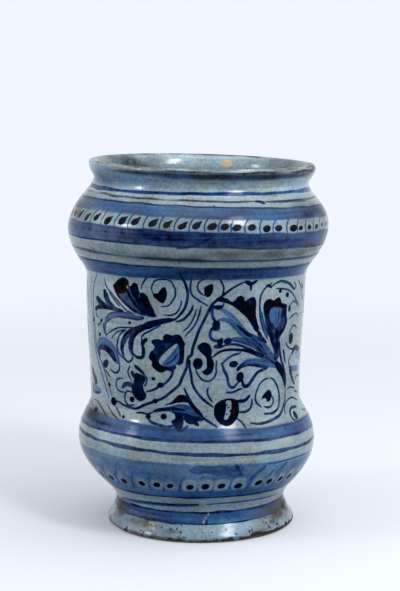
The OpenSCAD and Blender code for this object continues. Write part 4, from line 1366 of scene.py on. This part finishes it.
def painted_glaze():
    """Tin glaze with its blue painting and its wear."""
    if "Painted glaze" in bpy.data.materials:
        return bpy.data.materials["Painted glaze"]
    paint = bpy.context.scene.albarello_paint
    wear = bpy.context.scene.albarello_wear
    material, tree, shader = new_material("Painted glaze")
    where = place(tree, "ShaderNodeTexCoord").outputs["Object"]
    skin_node = place(tree, "ShaderNodeGroup", node_tree=glaze_skin_group())
    clay_node = place(tree, "ShaderNodeGroup", node_tree=clay_grain_group())
    marks = place(tree, "ShaderNodeAttribute", attribute_name="paint").outputs["Vector"]
    gap, load, wash = place(tree, "ShaderNodeSeparateXYZ", {0: marks}).outputs
    # The wear attribute carries dirt and also painted shade under the lip, under the shoulder and on the
    # neck's left
    ageing_and_shade = place(tree, "ShaderNodeAttribute", attribute_name="wear").outputs["Vector"]
    grime, bare, worn = place(tree, "ShaderNodeSeparateXYZ", {0: ageing_and_shade}).outputs
    ragged = calc(tree, "SUBTRACT", grain(tree, where, 900.0, 2.0), 0.5)
    edge = calc(tree, "MULTIPLY_ADD", ragged, 0.3, gap)
    ink = ease(tree, edge, 0.25, -0.25)
    body = calc(tree, "MULTIPLY_ADD", grain(tree, where, 170.0, 3.0), 0.7, 0.62)
    ink_load = calc(tree, "MULTIPLY", calc(tree, "MULTIPLY", ink, load), body)
    streaky = calc(tree, "MULTIPLY_ADD", skin_node.outputs["Streak"], 0.18, 0.91)
    pooled = calc(tree, "MULTIPLY_ADD", grain(tree, where, 220.0, 4.0), 0.6, 0.7)
    wash_load = calc(tree, "MULTIPLY", calc(tree, "MULTIPLY", wash, streaky), pooled)
    pigment = calc(tree, "MAXIMUM", ink_load, wash_load)
    ramp = place(tree, "ShaderNodeValToRGB", {0: pigment})
    stops = ramp.color_ramp.elements
    stops[0].position, stops[0].color = 0.0, opaque(paint.glaze)
    stops[1].position, stops[1].color = 1.0, opaque(paint.black)
    for position, shade in (
        (0.2, paint.faint), (0.46, paint.wash), (0.66, paint.band), (0.8, paint.navy), (0.92, paint.deep),
    ):
        stops.new(position).color = opaque(shade)
    cloud = calc(tree, "MULTIPLY_ADD", skin_node.outputs["Tone"], 0.9, 0.52)
    level = place(tree, "ShaderNodeSeparateXYZ", {0: where}).outputs["Z"]
    # Painted light: the glaze is drawn 1.44 times lighter above 225 mm, where the neck's hollow lies in shade
    # under the lip, and 1.32 times lighter on the foot below 10 mm
    neck_painted_light = ease(tree, level, *NECK_LIGHT_LEVEL, 1.0, 1.44)
    thick = calc(tree, "MULTIPLY", neck_painted_light, ease(tree, level, *FOOT_LEVEL, 1.32, 1.0))
    cloud = calc(tree, "MULTIPLY", cloud, thick)
    cloudy = place(tree, "ShaderNodeCombineXYZ", {0: cloud, 1: cloud, 2: cloud}).outputs[0]
    colour = tint(tree, 1.0, ramp.outputs[0], cloudy, "MULTIPLY")
    patches = ease(tree, grain(tree, where, 64.0, 3.0), 0.36, 0.68)
    warm = tint(tree, patches, (0.95, 1.0, 1.05, 1), (1.06, 1.0, 0.9, 1))
    colour = tint(tree, 1.0, colour, warm, "MULTIPLY")
    colour = tint(tree, ease(tree, ink_load, 1.02, 1.16, 0.0, 0.6), colour, opaque(wear.burnt))
    specks = calc(tree, "SUBTRACT", grain(tree, where, 620.0, 3.0, 0.7), 0.5)
    rubbed = ease(tree, calc(tree, "MULTIPLY_ADD", specks, 2.4, worn), 0.55, 0.8)
    colour = tint(tree, calc(tree, "MULTIPLY", rubbed, 0.8), colour, opaque(wear.lip))
    pits = calc(tree, "MULTIPLY", grime, ease(tree, level, *ANKLE_LEVEL, 0.55, 0.12))
    pits = calc(tree, "ADD", pits, ease(tree, level, *FOOT_LEVEL, 0.45, 0.13))
    tree.links.new(pits, skin_node.inputs["Pinholes"])
    # Dirt and painted shade take the film colour where thin and the soot colour where deep
    soot_and_shade = calc(tree, "MULTIPLY", ease(tree, grime, 0.2, 0.6), ease(tree, level, *ANKLE_LEVEL, 0.35, 1.0))
    dirt = tint(tree, soot_and_shade, opaque(wear.film), opaque(wear.soot))
    speckled = calc(tree, "MULTIPLY_ADD", grain(tree, where, 330.0, 3.0, 0.65), 0.9, 0.55)
    colour = tint(tree, calc(tree, "MULTIPLY", grime, speckled), colour, dirt)
    colour = tint(tree, calc(tree, "MULTIPLY", skin_node.outputs["Pinhole"], 0.8), colour, opaque(wear.soot))
    exposed = ease(tree, calc(tree, "MULTIPLY_ADD", ragged, 2.4, bare), 0.4, -0.4)
    dusty = calc(tree, "MULTIPLY_ADD", clay_node.outputs["Tone"], 1.1, 0.36)
    clay = tint(tree, dusty, opaque(wear.soot), opaque(wear.clay))
    scorched = ease(tree, grain(tree, where, 420.0, 2.0), 0.42, 0.6)
    pitted = tint(tree, scorched, opaque(wear.soot), opaque(wear.burnt))
    clay = tint(tree, ease(tree, level, *BURNT_LEVEL, 1.0, 0.0), clay, pitted)
    colour = tint(tree, exposed, colour, clay)
    rough = calc(tree, "MULTIPLY_ADD", skin_node.outputs["Tone"], 0.12, 0.09)
    rough = calc(tree, "MAXIMUM", rough, calc(tree, "MULTIPLY", exposed, 0.8))
    rough = calc(tree, "MAXIMUM", rough, calc(tree, "MULTIPLY", rubbed, 0.45))
    height = calc(tree, "SUBTRACT", skin_node.outputs["Height"], calc(tree, "MULTIPLY", exposed, 2.0))
    height = calc(tree, "ADD", height, calc(tree, "MULTIPLY", exposed, clay_node.outputs["Height"]))
    finish_surface(tree, shader, colour, rough, height, 0.25, 0.0002)
    facing = place(tree, "ShaderNodeLayerWeight", {"Blend": 0.5}).outputs["Facing"]
    way = place(tree, "ShaderNodeNewGeometry").outputs["Normal"]
    upright = ease(tree, place(tree, "ShaderNodeSeparateXYZ", {0: way}).outputs["Z"], -0.7, -0.15, 0.2, 1.0)
    pale = ease(tree, pigment, 0.08, 0.42, 0.6, 0.18)
    thin = calc(tree, "MULTIPLY", pale, ease(tree, pigment, 0.62, 0.86, 1.0, 0.0))
    shine = calc(tree, "MAXIMUM", thin, ease(tree, facing, 0.4, 0.8, 0.0, 0.07))
    clean = calc(tree, "SUBTRACT", 1.0, calc(tree, "MULTIPLY", grime, 0.95))
    shine = calc(tree, "MULTIPLY", calc(tree, "MULTIPLY", shine, upright), clean)
    shine = calc(tree, "MULTIPLY", shine, ease(tree, level, *SHINE_LEVEL, 0.8, 1.0))
    tree.links.new(shine, shader.inputs["Specular IOR Level"])
    return material


def plain_glaze():
    """The plain glaze inside the jar."""
    if "Plain glaze" in bpy.data.materials:
        return bpy.data.materials["Plain glaze"]
    paint = bpy.context.scene.albarello_paint
    wear = bpy.context.scene.albarello_wear
    material, tree, shader = new_material("Plain glaze")
    skin_node = place(tree, "ShaderNodeGroup", node_tree=glaze_skin_group())
    skin_node.inputs["Pinholes"].default_value = 0.2
    dull = tuple(0.72 * part for part in paint.inside)
    colour = tint(tree, ease(tree, skin_node.outputs["Tone"], 0.3, 0.7), opaque(dull), opaque(paint.inside))
    colour = tint(tree, calc(tree, "MULTIPLY", skin_node.outputs["Pinhole"], 0.7), colour, opaque(wear.soot))
    rough = calc(tree, "MULTIPLY_ADD", skin_node.outputs["Tone"], 0.2, 0.14)
    finish_surface(tree, shader, colour, rough, skin_node.outputs["Height"], 0.3, 0.0002)
    shader.inputs["Specular IOR Level"].default_value = 0.3
    return material


def fired_clay(name, shade, turning):
    """Matt fired clay or slip."""
    if name in bpy.data.materials:
        return bpy.data.materials[name]
    wear = bpy.context.scene.albarello_wear
    material, tree, shader = new_material(name)
    clay_node = place(tree, "ShaderNodeGroup", node_tree=clay_grain_group())
    clay_node.inputs["Turning"].default_value = turning
    dark = tuple(0.55 * part for part in shade)
    colour = tint(tree, ease(tree, clay_node.outputs["Tone"], 0.3, 0.68), opaque(dark), opaque(shade))
    where = place(tree, "ShaderNodeTexCoord").outputs["Object"]
    dirt = ease(tree, grain(tree, where, 60.0, 4.0, 0.65), 0.5, 0.72)
    colour = tint(tree, calc(tree, "MULTIPLY", dirt, 0.6), colour, opaque(wear.soot))
    level = place(tree, "ShaderNodeSeparateXYZ", {0: where}).outputs["Z"]
    colour = tint(tree, ease(tree, level, *SOOT_LEVEL, 0.75, 0.0), colour, opaque(wear.soot))
    rough = calc(tree, "MULTIPLY_ADD", clay_node.outputs["Tone"], 0.2, 0.7)
    finish_surface(tree, shader, colour, rough, clay_node.outputs["Height"], 0.5, 0.0004)
    return material


# Operators


class AlbarelloClay(bpy.types.Operator):
    """Sets the five clay sections of the jar along its leaning axis"""

    bl_idname = "albarello.clay"
    bl_label = "Clay sections"

    def execute(self, context):
        material = fired_clay("Bare clay", context.scene.albarello_wear.clay, 0.6)
        for name, node in (
            ("clay_foot", "foot_ring"), ("clay_bowl", "lower_bowl"), ("clay_waist", "waist_wall"),
            ("clay_shoulder", "shoulder_drum"), ("clay_neck", "neck_rim"),
        ):
            hidden_section(name, node, material, "clay")
        return {"FINISHED"}


class AlbarelloSeams(bpy.types.Operator):
    """Lays the four slip seams between the clay sections"""

    bl_idname = "albarello.seams"
    bl_label = "Slip seams"

    def execute(self, context):
        material = fired_clay("Seam slip", context.scene.albarello_wear.slip, 0.2)
        for name, node in (
            ("seam_foot", "foot_slip"), ("seam_lower", "lower_slip"), ("seam_upper", "upper_slip"),
            ("seam_neck", "neck_slip"),
        ):
            hidden_section(name, node, material, "slip")
        return {"FINISHED"}


class AlbarelloPaintedGlaze(bpy.types.Operator):
    """Coats the outside with painted tin glaze, in five bands from the foot to the mouth"""

    bl_idname = "albarello.painted_glaze"
    bl_label = "Painted glaze"

    def execute(self, context):
        for number, (name, _, _) in enumerate(BANDS[:PAINTED_BANDS]):
            covers = ("outer_glaze", "inner_glaze") if name == "rim_glaze" else ("outer_glaze",)
            glaze_shell(name, number, painted_glaze(), "painted_glaze", *covers)
        return {"FINISHED"}


class AlbarelloPlainGlaze(bpy.types.Operator):
    """Coats the inside with plain tin glaze, in two bands"""

    bl_idname = "albarello.plain_glaze"
    bl_label = "Plain glaze"

    def execute(self, context):
        for number in range(PAINTED_BANDS, len(BANDS)):
            glaze_shell(BANDS[number][0], number, plain_glaze(), "plain_glaze", "inner_glaze")
        return {"FINISHED"}


FLOOR_REACH = 2.6
FLOOR_CLEAR = (0.35, 1.1)
FLOOR_SHOWN = 0.78
FLOOR_BOUNCE = 0.6
FLOOR_GLOW = 0.25
# Lamps: degrees to the right of the camera's side, degrees up, distance, width and height in metres
KEY_PLACE = (40, 40, 2.2, 0.46, 0.85)
SIDE_PLACE = (-70, 27, 2.2, 0.3, 0.3)
TOP_PLACE = (75, 78, 2.0, 2.8, 2.8)
RIGHT_PLACE = (78, 10, 2.0, 1.8, 1.8)
LEFT_PLACE = (-82, 8, 2.0, 1.8, 1.8)
AIM = Vector((0, 0, 0.12))
FILL_TINT = (0.93, 0.96, 1.0, 1.0)
SENSOR_HIGH = 36.0


def soft_lamp(name, bearing, rise, away, wide, tall, power):
    """A flat lamp at a bearing from the camera's side, turned to the jar."""
    lamp = bpy.data.lights.new(name, "AREA")
    lamp.shape = "RECTANGLE"
    lamp.size, lamp.size_y = wide, tall
    lamp.energy = power
    holder = bpy.data.objects.new(name, lamp)
    turn, lift_angle = math.radians(bearing), math.radians(rise)
    level = math.cos(lift_angle)
    way = Vector((math.sin(turn) * level, -math.cos(turn) * level, math.sin(lift_angle)))
    holder.location = AIM + away * way
    holder.rotation_euler = (AIM - holder.location).to_track_quat("-Z", "Y").to_euler()
    bpy.context.scene.collection.objects.link(holder)


def shown_rays(tree):
    """1 for the rays that picture the stage, 0 for those that light the jar."""
    path = tree.nodes.new("ShaderNodeLightPath").outputs
    seen = calc(tree, "MAXIMUM", path["Is Camera Ray"], path["Is Glossy Ray"])
    return calc(tree, "MAXIMUM", seen, path["Is Transmission Ray"])


def floor_material(ground):
    """Pale floor that keeps the jar's shadow and clears towards its edge."""
    material, tree, shader = new_material("Pale floor")
    where = place(tree, "ShaderNodeTexCoord").outputs["Object"]
    flat = place(tree, "ShaderNodeVectorMath", {0: where}, operation="LENGTH").outputs["Value"]
    seen = shown_rays(tree)
    dim = tuple(FLOOR_BOUNCE * part for part in ground)
    bright = tuple(FLOOR_SHOWN * part for part in ground)
    tree.links.new(tint(tree, seen, opaque(dim), opaque(bright)), shader.inputs["Base Color"])
    shader.inputs["Roughness"].default_value = 0.9
    shader.inputs["Specular IOR Level"].default_value = 0.0
    shader.inputs["Emission Color"].default_value = opaque(ground)
    tree.links.new(calc(tree, "MULTIPLY", seen, FLOOR_GLOW), shader.inputs["Emission Strength"])
    clear = tree.nodes.new("ShaderNodeBsdfTransparent")
    cleared = ease(tree, flat, *FLOOR_CLEAR)
    mix = place(tree, "ShaderNodeMixShader", {0: cleared, 1: shader.outputs[0], 2: clear.outputs[0]})
    out = next(n for n in tree.nodes if n.type == "OUTPUT_MATERIAL")
    tree.links.new(mix.outputs[0], out.inputs[0])
    return material


class AlbarelloSetStage(bpy.types.Operator):
    """Sets the pale floor, the lamps, the space round the jar and the camera"""

    bl_idname = "albarello.set_stage"
    bl_label = "Stage"

    def execute(self, context):
        scene = context.scene
        stage = scene.albarello_stage
        work = bmesh.new()
        bmesh.ops.create_circle(work, cap_ends=True, segments=96, radius=FLOOR_REACH)
        mesh = bpy.data.meshes.new("floor")
        work.to_mesh(mesh)
        work.free()
        mesh.materials.append(floor_material(stage.ground))
        floor = bpy.data.objects.new("floor", mesh)
        scene.collection.objects.link(floor)
        soft_lamp("key_lamp", *KEY_PLACE, stage.key)
        soft_lamp("side_lamp", *SIDE_PLACE, stage.side)
        soft_lamp("top_lamp", *TOP_PLACE, stage.top)
        soft_lamp("right_panel", *RIGHT_PLACE, stage.right)
        soft_lamp("left_panel", *LEFT_PLACE, stage.left)
        world = bpy.data.worlds.new("Pale space")
        world.use_nodes = True
        scene.world = world
        tree = world.node_tree
        tree.nodes.clear()
        shown = shown_rays(tree)
        fill = place(tree, "ShaderNodeBackground", {0: FILL_TINT, 1: stage.fill})
        ground = place(tree, "ShaderNodeBackground", {0: opaque(stage.ground), 1: 1.0})
        mix = place(tree, "ShaderNodeMixShader", {0: shown, 1: fill.outputs[0], 2: ground.outputs[0]})
        place(tree, "ShaderNodeOutputWorld", {0: mix.outputs[0]})
        lens = bpy.data.cameras.new("camera")
        lens.sensor_fit = "VERTICAL"
        lens.sensor_height = SENSOR_HIGH
        lens.lens = stage.lens_px / PHOTO_HIGH_PX * lens.sensor_height
        camera = bpy.data.objects.new("camera", lens)
        camera.location = (stage.camera_side, -stage.camera_back, stage.camera_high)
        camera.rotation_euler = (math.pi / 2 - stage.camera_down, 0, 0)
        scene.collection.objects.link(camera)
        scene.camera = camera
        scene.view_settings.view_transform = "Standard"
        return {"FINISHED"}


class AlbarelloPanel(bpy.types.Panel):
    """Lists the steps of the jar and what a user may change"""

    bl_idname = "VIEW3D_PT_albarello"
    bl_label = "Albarello"
    bl_space_type = "VIEW_3D"
    bl_region_type = "UI"
    bl_category = "Albarello"

    def draw(self, context):
        for operator in OPERATORS:
            self.layout.operator(operator.bl_idname)
        for group in GROUPS:
            box = self.layout.box()
            settings = getattr(context.scene, group)
            for key in settings.__annotations__:
                box.prop(settings, key)


GROUPS = {
    "albarello_form": AlbarelloForm,
    "albarello_paint": AlbarelloPaint,
    "albarello_wear": AlbarelloWear,
    "albarello_stage": AlbarelloStage,
}
OPERATORS = (AlbarelloSetStage, AlbarelloClay, AlbarelloSeams, AlbarelloPaintedGlaze, AlbarelloPlainGlaze)
CLASSES = tuple(GROUPS.values()) + OPERATORS + (AlbarelloPanel,)


def register():
    """Adds the classes and their settings."""
    for cls in CLASSES:
        bpy.utils.register_class(cls)
    for name, cls in GROUPS.items():
        setattr(bpy.types.Scene, name, bpy.props.PointerProperty(type=cls))


def unregister():
    """Takes them away again."""
    for name in GROUPS:
        delattr(bpy.types.Scene, name)
    for cls in reversed(CLASSES):
        bpy.utils.unregister_class(cls)


def main():
    """Builds the jar and its stage."""
    register()
    bpy.ops.albarello.set_stage()
    bpy.ops.albarello.clay()
    bpy.ops.albarello.seams()
    bpy.ops.albarello.painted_glaze()
    bpy.ops.albarello.plain_glaze()


if __name__ == "__main__":
    main()
